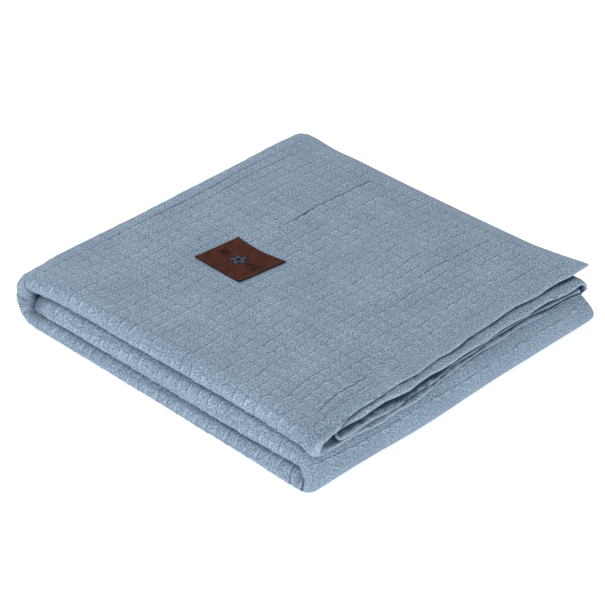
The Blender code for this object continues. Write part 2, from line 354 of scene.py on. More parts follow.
class Fold:
    """Carries points of the flat cut cloth into the folded stack.

    Distances along run from the open hems over the wrap to the tucked middle hem, and distances
    across run from the free back hem over the rolled front to the hem tucked inside.
    """

    hem: float = 0.013
    hem_turn: float = 0.0010
    hem_ply: float = 0.0012
    hem_half_space: float = 0.00070
    nose_fill: float = 0.0016
    nose_depth: float = 0.0072
    nose_reach: float = 0.014
    hem_blend: float = 0.004
    mean_setback: float = 0.013
    small_wave: float = 0.00050
    small_wave_length: float = 0.0127
    large_wave: float = 0.00080
    large_wave_length: float = 0.051
    ripple: float = 0.00040
    ripple_lengths: Span = (0.0131, 0.0077)
    ripple_span: Span = (0.030, 0.004)
    droop_fade: float = 0.14
    nose_opening: float = 1.5
    edge_round: float = 0.0013
    probe: float = 0.0003

    def __init__(self, stack: Stack) -> None:
        """Works out the stretches of the cloth in both directions.

        Args:
            stack: the sizes of the folded stack.
        """
        self.stack = stack
        self.hems = np.array(TOP_HEMS)
        spacing = stack.top_spacing
        self.legs = (
            self._straight(stack.half_y, stack.outer_turn_y, 0),
            self._turn(stack.outer_turn_y, -stack.outer_turn, 0, 3, spacing),
            self._straight(stack.outer_turn_y, stack.back_turn_y, 3),
            self._turn(stack.back_turn_y, stack.back_turn, 3, 1, spacing),
            self._straight(stack.back_turn_y, stack.inner_turn_y, 1),
            self._turn(stack.inner_turn_y, -stack.inner_turn, 1, 2, spacing),
            self._straight(stack.inner_turn_y, stack.back_turn_y - stack.tucked_hem_inset, 2),
        )
        self.across_ends = np.cumsum([0.0] + [leg.length for leg in self.legs])
        wrap_reach = stack.wrap_radius - stack.half_cloth
        shoulder_reach = stack.shoulder_radius - stack.half_cloth
        self.along_lengths = (
            stack.half_x - self.mean_setback - stack.wrap_x,
            self._arc(wrap_reach * stack.wrap_flat, wrap_reach),
            stack.shoulder_x - stack.wrap_x,
            self._arc(shoulder_reach * stack.shoulder_flat, shoulder_reach),
            stack.shoulder_x - stack.middle_hem_x,
        )
        self.along_ends = np.cumsum((0.0,) + self.along_lengths)

    @staticmethod
    def _arc(across: float, up: float) -> float:
        """Length of half an ellipse with these half axes."""
        return math.pi * math.sqrt((across * across + up * up) / 2)

    @staticmethod
    def _straight(start: float, end: float, layer: float) -> Straight:
        """A straight stretch of its true length."""
        return Straight(abs(end - start), start, end, layer)

    @classmethod
    def _turn(cls, centre: float, radius: float, first: float, last: float, spacing: float) -> Turn:
        """A turn of its true length where the layers lie this far apart."""
        return Turn(cls._arc(abs(radius), abs(last - first) / 2 * spacing), centre, radius, first, last)

    @property
    def along_total(self) -> float:
        """Length of the cloth from the open hem's edge to the tucked middle hem."""
        return float(self.along_ends[-1])

    @property
    def across_total(self) -> float:
        """Breadth of the cloth from the free back hem to the tucked one."""
        return float(self.across_ends[-1])

    def section(self, across: np.ndarray) -> tuple[np.ndarray, np.ndarray]:
        """Where points lie in the strip's section.

        Args:
            across: distances across the cloth from its free back hem.

        Returns:
            The forward place and the depth in layers.
        """
        forward = np.full_like(across, self.stack.half_y)
        depth = np.zeros_like(across)
        for leg, start in zip(self.legs, self.across_ends):
            here = across >= start
            place, layer = leg.at(np.clip((across - start) / leg.length, 0.0, 1.0))
            forward = np.where(here, place, forward)
            depth = np.where(here, layer, depth)
        return forward, depth

    def bottom_spacing(self, x: np.ndarray) -> np.ndarray:
        """Spacing of the bottom panel's layers."""
        stack = self.stack
        parted = ease(stack.shoulder_x - stack.middle_full_run, stack.shoulder_x, x)
        return stack.bottom_spacing + (stack.shoulder_spacing - stack.bottom_spacing) * parted

    def middle_spacing(self, x: np.ndarray) -> np.ndarray:
        """Spacing of the middle panel's layers."""
        stack = self.stack
        rise = ease(0.0, stack.middle_full_run, stack.shoulder_x - x)
        filled = stack.shoulder_spacing + (stack.middle_spacing - stack.shoulder_spacing) * rise
        thinned = ease(0.0, stack.middle_full_run, x - stack.middle_hem_x)
        return stack.middle_end_spacing + (filled - stack.middle_end_spacing) * thinned

    def middle_top(self, x: np.ndarray) -> np.ndarray:
        """Height of the middle panel's upper face."""
        stack = self.stack
        spacings = self.bottom_spacing(x) + self.middle_spacing(x)
        level = stack.panel_gap + 2 * stack.cloth + stack.layer_steps * spacings
        reach = stack.shoulder_flat * stack.shoulder_radius
        past = np.clip((x - stack.shoulder_x) / reach, 0.0, stack.steepest_droop)
        return level - stack.shoulder_radius * (1.0 - np.sqrt(1.0 - past * past))

    def top_spacing(self, x: np.ndarray) -> np.ndarray:
        """Spacing of the top panel's layers."""
        stack = self.stack
        thinned = ease(stack.half_x - stack.hem_thin_run, stack.half_x, x)
        return stack.top_spacing + (stack.top_hem_spacing - stack.top_spacing) * thinned

    def top_level(self, x: np.ndarray) -> np.ndarray:
        """Height of the top panel's upper face before the stack settles."""
        stack = self.stack
        return self.middle_top(x) + stack.panel_gap + stack.layer_steps * self.top_spacing(x) + stack.cloth

    def top_hem(self, forward: np.ndarray, depth: np.ndarray) -> np.ndarray:
        """Where the top panel ends, with the small waves of its hems.

        Args:
            forward: places from front to back.
            depth: depths in layers.

        Returns:
            The end of the panel along x.
        """
        place = forward / self.stack.half_y
        ends = np.array([np.interp(place, self.hems[:, 0], self.hems[:, 1 + layer]) for layer in range(4)])
        lower = np.clip(np.floor(depth), 0, 2).astype(int)
        share = depth - lower
        rows = np.arange(len(forward))
        setback = ends[lower, rows] * (1.0 - share) + ends[lower + 1, rows] * share
        small = self.small_wave * np.sin(forward * math.tau / self.small_wave_length + 1.7 * depth)
        large = self.large_wave * np.sin(forward * math.tau / self.large_wave_length + 2.3 * depth + 0.8)
        return self.stack.half_x - setback + small + large

    def panels(self, along: np.ndarray, across: np.ndarray) -> np.ndarray:
        """The middle surface of the cloth in the settled stack, without its turned hems.

        Args:
            along: distances along the cloth from the open hem.
            across: distances across it from the free back hem.

        Returns:
            One row of x, y and z for each point.
        """
        stack = self.stack
        forward, depth = self.section(across)
        shares = [
            np.clip((along - start) / length, 0.0, 1.0)
            for start, length in zip(self.along_ends, self.along_lengths)
        ]
        x = self.top_hem(forward, depth)
        x = x + (stack.wrap_x - x) * shares[0]
        free = ease(stack.half_x - stack.corner_reach, stack.half_x, x)
        free = free * ease(stack.half_y - stack.corner_reach, stack.half_y, forward)
        droop = stack.back_hem_droop * ease(stack.back_turn_y, stack.half_y, forward)
        droop = droop * ease(0.0, self.droop_fade, 1.0 - shares[0])
        change = (stack.corner_lift * free - droop * (1.0 - free)) * np.clip(1.0 - depth, 0.0, 1.0)
        open_here = ease(*stack.open_front, forward) * (1.0 - ease(*stack.open_back, forward))
        open_here = open_here * ease(stack.open_from, 1.0, 1.0 - shares[0])
        level = depth + np.interp(depth, range(4), stack.open_layers) * open_here
        long_wave, short_wave = self.ripple_lengths
        ripple = np.sin(forward * math.tau / long_wave + 2.1 * depth)
        ripple = ripple + np.sin(forward * math.tau / short_wave + 4.0 * depth)
        change = change + self.ripple * ripple * ease(*self.ripple_span, along)
        z = self.top_level(x) - stack.half_cloth - level * self.top_spacing(x) + change

        angle = math.pi * shares[1]
        spacing = stack.top_spacing + (stack.bottom_spacing - stack.top_spacing) * ease(0.0, 1.0, shares[1])
        spacing = spacing + stack.wrap_crowd * np.sin(angle)
        radius = stack.wrap_radius - stack.half_cloth - depth * spacing
        here = along >= self.along_ends[1]
        x = np.where(here, stack.wrap_x - stack.wrap_flat * radius * np.sin(angle), x)
        z = np.where(here, stack.wrap_radius + radius * np.cos(angle), z)

        here = along >= self.along_ends[2]
        level = stack.wrap_x + (stack.shoulder_x - stack.wrap_x) * shares[2]
        x = np.where(here, level, x)
        z = np.where(here, stack.half_cloth + depth * self.bottom_spacing(level), z)

        angle = math.pi * shares[3]
        radius = stack.shoulder_radius - stack.half_cloth - depth * stack.shoulder_spacing
        here = along >= self.along_ends[3]
        x = np.where(here, stack.shoulder_x + stack.shoulder_flat * radius * np.sin(angle), x)
        z = np.where(here, stack.shoulder_radius - radius * np.cos(angle), z)

        here = along >= self.along_ends[4]
        level = stack.shoulder_x + (stack.middle_hem_x - stack.shoulder_x) * shares[4]
        x = np.where(here, level, x)
        upper_face = self.middle_top(level) - stack.half_cloth
        z = np.where(here, upper_face - depth * self.middle_spacing(level), z)
        drawn = ease(stack.drawn_from, stack.drawn_full, shares[3])
        drawn = np.where(along >= self.along_ends[3], drawn, 0.0)
        drawn = np.where(here, ease(stack.shoulder_x - stack.drawn_reach, stack.shoulder_x, level), drawn)
        return self.settle(x, forward, z, drawn * stack.drawn_back)

    def fullness(self, x: np.ndarray, y: np.ndarray) -> np.ndarray:
        """Share of the full height that the stack has at each place."""
        stack = self.stack
        right = np.clip((x + stack.half_x) / stack.length, 0.0, 1.0)
        back = np.clip((y + stack.half_y) / stack.breadth, 0.0, 1.0)
        front_edge = stack.fullness_left + (stack.fullness_front - stack.fullness_left) * right
        back_edge = stack.fullness_back + (stack.fullness_right - stack.fullness_back) * right
        sink = stack.back_sink * 4.0 * right * (1.0 - right) * ease(0.0, 1.0, back)
        puff = stack.front_puff * np.exp(-back * stack.breadth / stack.front_puff_reach)
        reach = stack.left_dip_reach
        near_left = ease(0.0, reach, reach - right * stack.length)
        dip = stack.left_dip * near_left * ease(0.0, reach, reach - back * stack.breadth)
        return front_edge + (back_edge - front_edge) * back - sink + puff - dip

    def settle(self, x: np.ndarray, y: np.ndarray, z: np.ndarray, drawn: np.ndarray) -> np.ndarray:
        """Lets the ideal folds settle into the uneven stack.

        Args:
            x: places along the letter fold.
            y: places from front to back.
            z: heights before settling.
            drawn: how far each point is drawn back where it lies at the free corner.

        Returns:
            One row of x, y and z for each point, in the part's frame.
        """
        stack = self.stack
        swell = stack.swell * hill(y, stack.swell_y, stack.swell_reach)
        moved_x = x + swell * ease(stack.swell_from_x, stack.swell_full_x, x)
        height = stack.half_cloth + (z - stack.half_cloth) * self.fullness(x, y)
        rise = np.clip(height / stack.skew_height, 0.0, 1.0)
        spread = stack.corner_spread * ease(stack.half_x - stack.corner_reach, stack.half_x, x)
        askew = stack.back_skew * (x / stack.half_x - stack.skew_centre) + spread
        skew = askew * rise - stack.lower_short * (1.0 - rise)
        reach = stack.wrap_round_reach
        rounding = stack.wrap_round * ease(0.0, reach, reach - stack.half_x - x)
        moved_y = y + (skew - rounding) * ease(0.0, stack.half_y, y)
        at_corner = drawn * ease(stack.half_y - stack.drawn_reach, stack.half_y, y)
        toe = stack.toe * ease(stack.half_x - stack.toe_reach, stack.half_x, x) * ease(0.030, 0.010, height)
        toe = toe * ease(stack.half_y - stack.toe_reach, stack.half_y, -y)
        place_x = moved_x - at_corner + toe + stack.shift_x
        place_y = moved_y - at_corner - toe + stack.shift_y
        upper = ease(0.030, 0.050, height)
        for form_x, form_y, reach_x, reach_y, rise_by in TOP_FORMS:
            form = rise_by * hill(place_x, form_x, reach_x) * hill(place_y, form_y, reach_y)
            height = height + upper * form
        return np.stack((place_x, place_y, height), axis=1)

    def middle(self, along: np.ndarray, across: np.ndarray) -> np.ndarray:
        """The middle surface of the cloth, with the open hem turned under.

        Args:
            along: distances along the cloth, below 0 on the turned-under ply.
            across: distances across it.

        Returns:
            One row of x, y and z for each point.
        """
        upper = np.maximum(np.abs(along), self.hem_turn)
        places = self.panels(upper, across)
        step = np.where(upper + self.probe > self.along_total, -self.probe, self.probe)
        outward = (places - self.panels(upper + step, across)) * np.sign(step)[:, None]
        outward /= np.linalg.norm(outward, axis=1, keepdims=True)
        before = np.clip(across - self.probe, 0.0, self.across_total)
        after = np.clip(across + self.probe, 0.0, self.across_total)
        sideways = self.panels(upper, after) - self.panels(upper, before)
        normal = np.cross(-outward, sideways)
        normal /= np.linalg.norm(normal, axis=1, keepdims=True)
        angle = math.pi * np.clip((self.hem_turn - along) / (2 * self.hem_turn), 0.0, 1.0)
        space = self.hem_half_space * (1.0 - ease(self.hem, self.hem + self.hem_blend, upper))
        start, end = self.across_ends[1:3]
        nose_start = ease(start - self.nose_reach, start, across)
        nose_end = ease(-end - self.nose_reach, -end, -across)
        fill = self.nose_fill * nose_start * nose_end
        turned = np.clip((across - start) / (end - start), 0.0, 1.0)
        fill = fill * (1.0 + self.nose_opening * ease(0.5, 1.0, turned))
        out = ((self.hem_half_space + fill) * np.sin(angle))[:, None] * outward
        under = (1.0 - np.cos(angle)) / 2
        folded = places + out + (space * np.cos(angle) - fill * under)[:, None] * normal
        folded[:, 1] += self.nose_depth * under * np.sin(math.pi * turned) ** 1.5
        return folded

    def locate(self, x: np.ndarray, y: np.ndarray) -> tuple[np.ndarray, np.ndarray]:
        """Where points of the top lie on the flat cloth.

        Args:
            x: places along the letter fold, in the part's frame.
            y: places from front to back.

        Returns:
            The distances along and across the cloth.
        """
        along = self.stack.half_x - x
        across = self.stack.half_y - y
        for _ in range(12):
            places = self.middle(along, across)
            along = np.clip(along + places[:, 0] - x, self.hem_turn, self.along_ends[1])
            across = np.clip(across + places[:, 1] - y, 0.0, self.across_ends[1])
        return along, across

    def half_thickness(self, along: np.ndarray, across: np.ndarray) -> np.ndarray:
        """Half the cloth's thickness: pressed thin in the hem's plies and rounded at the back hem."""
        full = ease(self.hem, self.hem + self.hem_blend, np.abs(along))
        half = self.hem_ply / 2 + (self.stack.half_cloth - self.hem_ply / 2) * full
        past = 1.0 - np.clip(across / self.edge_round, 0.0, 0.97)
        return half * np.sqrt(1.0 - past * past)

    def normals(self, along: np.ndarray, across: np.ndarray) -> np.ndarray:
        """Directions in which the cloth's right side faces."""
        low = -self.hem
        ahead = self.middle(np.clip(along + self.probe, low, self.along_total), across)
        behind = self.middle(np.clip(along - self.probe, low, self.along_total), across)
        after = self.middle(along, np.clip(across + self.probe, 0.0, self.across_total))
        before = self.middle(along, np.clip(across - self.probe, 0.0, self.across_total))
        normal = np.cross(ahead - behind, after - before)
        return normal / np.linalg.norm(normal, axis=1, keepdims=True)


@dataclass(frozen=True)
class Weave:
    """The pique weave: a lattice of raised cells, in metres of flat cloth."""

    cell_across: float = 0.0124
    slant: float = 0.055
    height: float = 0.0008
    wander: float = 0.0011
    sways: tuple[Span, Span] = ((0.171, 1.0), (0.067, 0.4))
    bow_length: float = 0.139
    seed: int = 11
    first_column: int = 3
    last_column: int = 94
    even: tuple[float, ...] = (0.0, 0.2, 0.4, 0.6, 0.8, 1.0)
    gathered: tuple[float, ...] = (0.0, 0.10, 0.36, 0.66, 0.88, 1.0)
    profile: tuple[float, ...] = (0.22, 0.48, 0.62, 0.72, 1.0, 0.22)

    @staticmethod
    def number(along: np.ndarray) -> np.ndarray:
        """Column numbers at distances along the cloth."""
        places = np.array(COLUMN_PLACES)
        return np.interp(along, places[:, 0], places[:, 1])

    @staticmethod
    def distance(number: np.ndarray) -> np.ndarray:
        """Distances along the cloth at column numbers."""
        places = np.array(COLUMN_PLACES)
        return np.interp(number, places[:, 1], places[:, 0])

    def bow(self, along: np.ndarray, across: np.ndarray) -> np.ndarray:
        """How far the columns wander from straight lines, nothing near the open hem."""
        return self.wander * np.sin(across * math.tau / self.bow_length + 0.6) * ease(0.03, 0.10, along)

    def gather(self, along: np.ndarray, across: np.ndarray) -> np.ndarray:
        """Moves the points of an even grid so that they gather at the borders of the columns.

        Args:
            along: distances along the cloth.
            across: distances across it.

        Returns:
            The moved distances along the cloth.
        """
        number = self.number(along)
        gathered = np.floor(number) + np.interp(number % 1.0, self.even, self.gathered)
        open_cloth = (number >= self.first_column) & (number < self.last_column)
        return self.distance(np.where(open_cloth, gathered, number)) - self.bow(along, across)

    def lattice(self, along: np.ndarray, across: np.ndarray) -> tuple[np.ndarray, np.ndarray]:
        """Cell coordinates of points of the flat cloth, with the weave's slight wander.

        Args:
            along: distances along the cloth.
            across: distances across it.

        Returns:
            The column and row coordinates, whole numbers at the borders of cells.
        """
        (long_sway, _), (short_sway, share) = self.sways
        sway = np.sin(along * math.tau / long_sway + 1.9) + share * np.sin(across * math.tau / short_sway)
        row = (across + self.wander * sway - self.slant * along) / self.cell_across
        return self.number(along + self.bow(along, across)), row

    def relief(self, column: np.ndarray, row: np.ndarray) -> np.ndarray:
        """Height of the raised cells at points of the lattice: each rises to a ridge beside its border."""
        generator = np.random.default_rng(self.seed)
        table = 0.55 + 0.90 * generator.random((64, 64))
        cell = table[np.floor(column).astype(int) % 64, np.floor(row).astype(int) % 64]
        across_column = np.interp(column % 1.0, self.gathered, self.profile)
        along_row = 0.5 + 0.5 * np.clip(np.sin(math.pi * (row % 1.0)), 0.0, 1.0) ** 0.6
        return self.height * cell * across_column * along_row


class Shader:
    """Builds a material's nodes by name, one call for each step."""

    def __init__(self, name: str) -> None:
        """Starts a material with its surface shader.

        Args:
            name: the material's name.
        """
        self.material = bpy.data.materials.new(name)
        self.material.use_nodes = True
        self.tree = self.material.node_tree
        self.surface = self.tree.nodes["Principled BSDF"]

    def join(self, source: object, target: object) -> None:
        """Links an output, or sets a plain value, on an input."""
        if isinstance(source, bpy.types.NodeSocket):
            self.tree.links.new(source, target)
        else:
            target.default_value = source

    def math(self, operation: str, first: object, second: object = 0.0) -> object:
        """One step of arithmetic.

        Args:
            operation: the operation's name.
            first: the first value or output.
            second: the second value or output.

        Returns:
            The output that holds the result.
        """
        node = self.tree.nodes.new("ShaderNodeMath")
        node.operation = operation
        self.join(first, node.inputs[0])
        self.join(second, node.inputs[1])
        return node.outputs[0]

    def times(self, first: object, second: object) -> object:
        """The product of two values."""
        return self.math("MULTIPLY", first, second)

    def plus(self, first: object, second: object) -> object:
        """The sum of two values."""
        return self.math("ADD", first, second)

    def minus(self, first: object, second: object) -> object:
        """The first value less the second."""
        return self.math("SUBTRACT", first, second)

    def size(self, value: object) -> object:
        """The value without its sign."""
        return self.math("ABSOLUTE", value)

    def smooth(self, value: object, start: float, end: float) -> object:
        """A smooth rise from 0 at start to 1 at end."""
        node = self.tree.nodes.new("ShaderNodeMapRange")
        node.interpolation_type = "SMOOTHSTEP"
        self.join(value, node.inputs["Value"])
        node.inputs["From Min"].default_value = start
        node.inputs["From Max"].default_value = end
        return node.outputs["Result"]

    def mix(self, share: object, first: object, second: object) -> object:
        """A blend of two colours.

        Args:
            share: how much of the second colour.
            first: the first colour or output.
            second: the second colour or output.

        Returns:
            The output that holds the colour.
        """
        node = self.tree.nodes.new("ShaderNodeMix")
        node.data_type = "RGBA"
        self.join(share, node.inputs["Factor"])
        self.join(first if not isinstance(first, tuple) else (*first, 1.0), node.inputs["A"])
        self.join(second if not isinstance(second, tuple) else (*second, 1.0), node.inputs["B"])
        return node.outputs["Result"]

    def uv(self, name: str) -> tuple[object, object, object]:
        """A UV map's vector and its two coordinates."""
        node = self.tree.nodes.new("ShaderNodeUVMap")
        node.uv_map = name
        parts = self.tree.nodes.new("ShaderNodeSeparateXYZ")
        self.join(node.outputs["UV"], parts.inputs[0])
        return node.outputs["UV"], parts.outputs["X"], parts.outputs["Y"]

    def attribute(self, name: str) -> object:
        """A number stored on the mesh."""
        node = self.tree.nodes.new("ShaderNodeAttribute")
        node.attribute_name = name
        return node.outputs["Fac"]

    def noise(self, vector: object, stretch: Repeats, detail: float, turn: float = 0.0) -> object:
        """Noise in the plane of a map.

        Args:
            vector: the coordinates.
            stretch: how often it repeats along each axis.
            detail: octaves of finer noise.
            turn: angle by which the map is turned first.

        Returns:
            The output that holds the noise.
        """
        place = self.tree.nodes.new("ShaderNodeMapping")
        place.inputs["Scale"].default_value = stretch
        place.inputs["Rotation"].default_value = (0.0, 0.0, turn)
        self.join(vector, place.inputs["Vector"])
        node = self.tree.nodes.new("ShaderNodeTexNoise")
        node.inputs["Scale"].default_value = 1.0
        node.inputs["Detail"].default_value = detail
        node.inputs["Roughness"].default_value = 0.6
        self.join(place.outputs["Vector"], node.inputs["Vector"])
        return node.outputs["Fac"]

    def line(self, plane: object, ends: Ends, width: float, wobble: object) -> object:
        """A thin line between two places of a map.

        Args:
            plane: the map's vector.
            ends: the first place and the second place.
            width: half the line's width.
            wobble: how far the line strays sideways.

        Returns:
            The output that is 1 on the line.
        """
        start = np.array(ends[:2])
        run = np.array(ends[2:]) - start
        length = float(np.linalg.norm(run))
        run = run / length
        offset = self.tree.nodes.new("ShaderNodeVectorMath")
        offset.operation = "SUBTRACT"
        self.join(plane, offset.inputs[0])
        offset.inputs[1].default_value = (float(start[0]), float(start[1]), 0.0)
        measured = []
        for direction in ((run[0], run[1]), (-run[1], run[0])):
            node = self.tree.nodes.new("ShaderNodeVectorMath")
            node.operation = "DOT_PRODUCT"
            self.join(offset.outputs["Vector"], node.inputs[0])
            node.inputs[1].default_value = (float(direction[0]), float(direction[1]), 0.0)
            measured.append(node.outputs["Value"])
        away = self.size(self.plus(measured[1], wobble))
        on_line = self.smooth(away, width, 0.2 * width)
        begun = self.smooth(measured[0], -0.002, 0.010)
        ended = self.smooth(measured[0], length + 0.002, length - 0.010)
        return self.times(on_line, self.times(begun, ended))

    def bump(self, height: object, distance: float, strength: float, after: object | None = None) -> object:
        """Surface relief from a height.

        Args:
            height: the output that holds the height.
            distance: what a height of 1 stands for, in metres.
            strength: how strongly it shows.
            after: an earlier relief to build on.

        Returns:
            The output that holds the normal.
        """
        node = self.tree.nodes.new("ShaderNodeBump")
        node.inputs["Distance"].default_value = distance
        node.inputs["Strength"].default_value = strength
        self.join(height, node.inputs["Height"])
        if after is not None:
            self.join(after, node.inputs["Normal"])
        return node.outputs["Normal"]

    def set(self, **values: object) -> None:
        """Sets or links the surface's inputs, named with underscores for spaces."""
        for name, value in values.items():
            self.join(value, self.surface.inputs[name.replace("_", " ")])


@dataclass(frozen=True)
class PiqueFinish:
    """Soft melange cotton in a raised cell weave, with painted highlights on its ribs, light lines and hem
    edges, and painted shade in its grooves, row edges, dark lines and slits.

    Places in a cell run from 0 to 1. A span says where a mark begins to show and where it is full.
    """

    # glint: colour of the painted highlights on the ribs and light lines.
    glint: Colour = (0.500, 0.615, 0.740)
    # light: the pale yarn of the melange, and also the painted highlight on the hem edges.
    light: Colour = (0.470, 0.598, 0.725)
    body: Colour = (0.222, 0.306, 0.405)
    # shade: the dark yarn of the melange, and also the painted shade in the grooves and row edges.
    shade: Colour = (0.070, 0.115, 0.190)
    # The darkest colour is painted shade in the slits, the creases and the dark lines.
    painted_shade: Colour = (0.018, 0.038, 0.082)
    body_share: float = 0.12
    rib_highlight_share: float = 0.74
    rib_lost_in_front: float = 0.16
    groove_shade_share: float = 0.46
    row_shade_share: float = 0.14
    tint_share: float = 0.16

    rib_place: float = 0.87
    lean: float = 0.20
    lean_in_front: float = 0.14
    wider_in_front: float = 0.5
    rib_width: Span = (0.12, 0.03)
    rib_length: Span = (0.43, 0.22)
    groove_width: Span = (0.085, 0.01)
    row_width: Span = (0.36, 0.5)
    light_line_width: Span = (0.085, 0.02)
    dark_line_width: Span = (0.080, 0.03)
    column_waver: float = 0.16
    line_waver: float = 0.0016

    waver: Repeats = (260.0, 90.0, 1.0)
    rib_patches: Repeats = (75.0, 75.0, 1.0)
    rib_patch_span: Span = (0.28, 0.52)
    groove_patches: Repeats = (50.0, 50.0, 1.0)
    groove_patch_span: Span = (0.30, 0.62)
    clouds: Repeats = (22.0, 22.0, 1.0)
    cloud_span: Span = (0.3, 0.7)
    threads: tuple[tuple[Repeats, float, float], ...] = (
        ((560.0, 1800.0, 1.0), 0.0, 0.36),
        ((1800.0, 560.0, 1.0), 0.0, 0.34),
        ((1600.0, 640.0, 1.0), 0.8, 0.30),
    )
    fleck_span: Span = (0.458, 0.542)

    relief: float = 0.0009
    groove_depth: float = 0.5
    row_depth: float = 0.15
    thread_relief: float = 0.0005
    thread_strength: float = 0.7

    def material(self, lines: list[Line]) -> bpy.types.Material:
        """Builds the cloth's material on its cut and weave maps.

        Args:
            lines: the ends on the cut map, half width, tone and strength of each free line.

        Returns:
            The finished material.
        """
        shader = Shader("pique_cotton_cloth")
        cut, _, _ = shader.uv("cut")
        _, column, row = shader.uv("weave")
        pads = shader.attribute("pads")
        front = shader.attribute("front")
        waver = shader.minus(shader.noise(cut, self.waver, 2.0), 0.5)

        along_rib = shader.minus(shader.math("FRACT", row), 0.5)
        from_middle = shader.size(along_rib)
        place = shader.plus(shader.math("FRACT", column), shader.times(waver, self.column_waver))
        lean = shader.times(along_rib, shader.times(front, self.lean_in_front))
        lean = shader.plus(lean, shader.times(along_rib, self.lean))
        ridge = shader.size(shader.minus(shader.minus(place, self.rib_place), lean))
        ridge = shader.math("DIVIDE", ridge, shader.plus(shader.times(front, self.wider_in_front), 1.0))
        border = shader.math("MINIMUM", shader.size(shader.minus(place, 1.0)), shader.size(place))

        # The ribs are painted highlight, where the raised ridge of each cell catches the light.
        patchy = shader.smooth(shader.noise(cut, self.rib_patches, 1.0), *self.rib_patch_span)
        rib = shader.times(
            shader.smooth(ridge, *self.rib_width), shader.smooth(from_middle, *self.rib_length)
        )
        rib = shader.times(rib, shader.times(patchy, pads))
        # The grooves at the column borders and the row edges are painted shade in the valleys between the
        # cells.
        uneven = shader.smooth(shader.noise(cut, self.groove_patches, 1.0), *self.groove_patch_span)
        groove = shader.times(shader.times(shader.smooth(border, *self.groove_width), uneven), pads)
        row_edge = shader.times(shader.smooth(from_middle, *self.row_width), pads)

        # Light lines are painted highlight and dark lines painted shade, beside chosen column borders and
        # along the free lines.
        painted_highlight_line = shader.times(
            shader.smooth(ridge, *self.light_line_width), shader.attribute("painted_highlight_line")
        )
        painted_shade_line = shader.times(shader.smooth(border, *self.dark_line_width), shader.attribute("painted_shade_line"))
        wobble = shader.times(waver, self.line_waver)
        for ends, width, tone, strength in lines:
            mark = shader.times(shader.line(cut, ends, width, wobble), strength)
            if tone is Tone.LIGHT:
                painted_highlight_line = shader.math("MAXIMUM", painted_highlight_line, mark)
            else:
                painted_shade_line = shader.math("MAXIMUM", painted_shade_line, mark)

        fibres = 0.0
        for repeats, turn, share in self.threads:
            fibres = shader.plus(fibres, shader.times(shader.noise(cut, repeats, 2.0, turn), share))
        clouds = shader.smooth(shader.noise(cut, self.clouds, 2.0), *self.cloud_span)
        rib_highlight_share = shader.minus(self.rib_highlight_share, shader.times(front, self.rib_lost_in_front))
        colour = shader.mix(shader.smooth(fibres, *self.fleck_span), self.shade, self.light)
        # Over the yarn flecks: the body and the clouds are the cloth's own tone; the ribs, the light lines
        # and the hem edges are painted highlight; the grooves, the row edges, the dark lines and the slits
        # are painted shade.
        for share, tint in (
            (self.body_share, self.body),
            (shader.times(rib, rib_highlight_share), self.glint),
            (shader.times(groove, self.groove_shade_share), self.shade),
            (shader.times(row_edge, self.row_shade_share), self.shade),
            (shader.times(clouds, self.tint_share), self.shade),
            (painted_highlight_line, self.glint),
            (shader.attribute("edge"), self.light),
            (painted_shade_line, self.painted_shade),
            (shader.attribute("painted_shade"), self.painted_shade),
        ):
            colour = shader.mix(share, colour, tint)

        raised = shader.minus(rib, shader.times(groove, self.groove_depth))
        raised = shader.minus(raised, shader.times(row_edge, self.row_depth))
        raised = shader.plus(raised, shader.minus(painted_highlight_line, painted_shade_line))
        normal = shader.bump(raised, self.relief, 1.0)
        normal = shader.bump(fibres, self.thread_relief, self.thread_strength, normal)
        shader.set(Base_Color=colour, Roughness=0.9, Normal=normal, Metallic=0.0)
        shader.set(Sheen_Weight=0.08, Sheen_Roughness=0.5, Specular_IOR_Level=0.12)
        return shader.material


@dataclass(frozen=True)
class ThreadFinish:
    """Matt sewing thread."""

    name: str
    colour: Colour
    ply: Colour

    def material(self) -> bpy.types.Material:
        """Builds the thread's material with a twisted ply."""
        shader = Shader(self.name)
        node = shader.tree.nodes.new("ShaderNodeTexCoord")
        twist = shader.noise(node.outputs["Object"], (2600.0, 2600.0, 900.0), 1.0, 0.6)
        share = shader.smooth(twist, 0.35, 0.65)
        colour = shader.mix(share, self.ply, self.colour)
        shader.set(Base_Color=colour, Roughness=0.7, Normal=shader.bump(twist, 0.0001, 0.5), Metallic=0.0)
        shader.set(Sheen_Weight=0.1)
        return shader.material


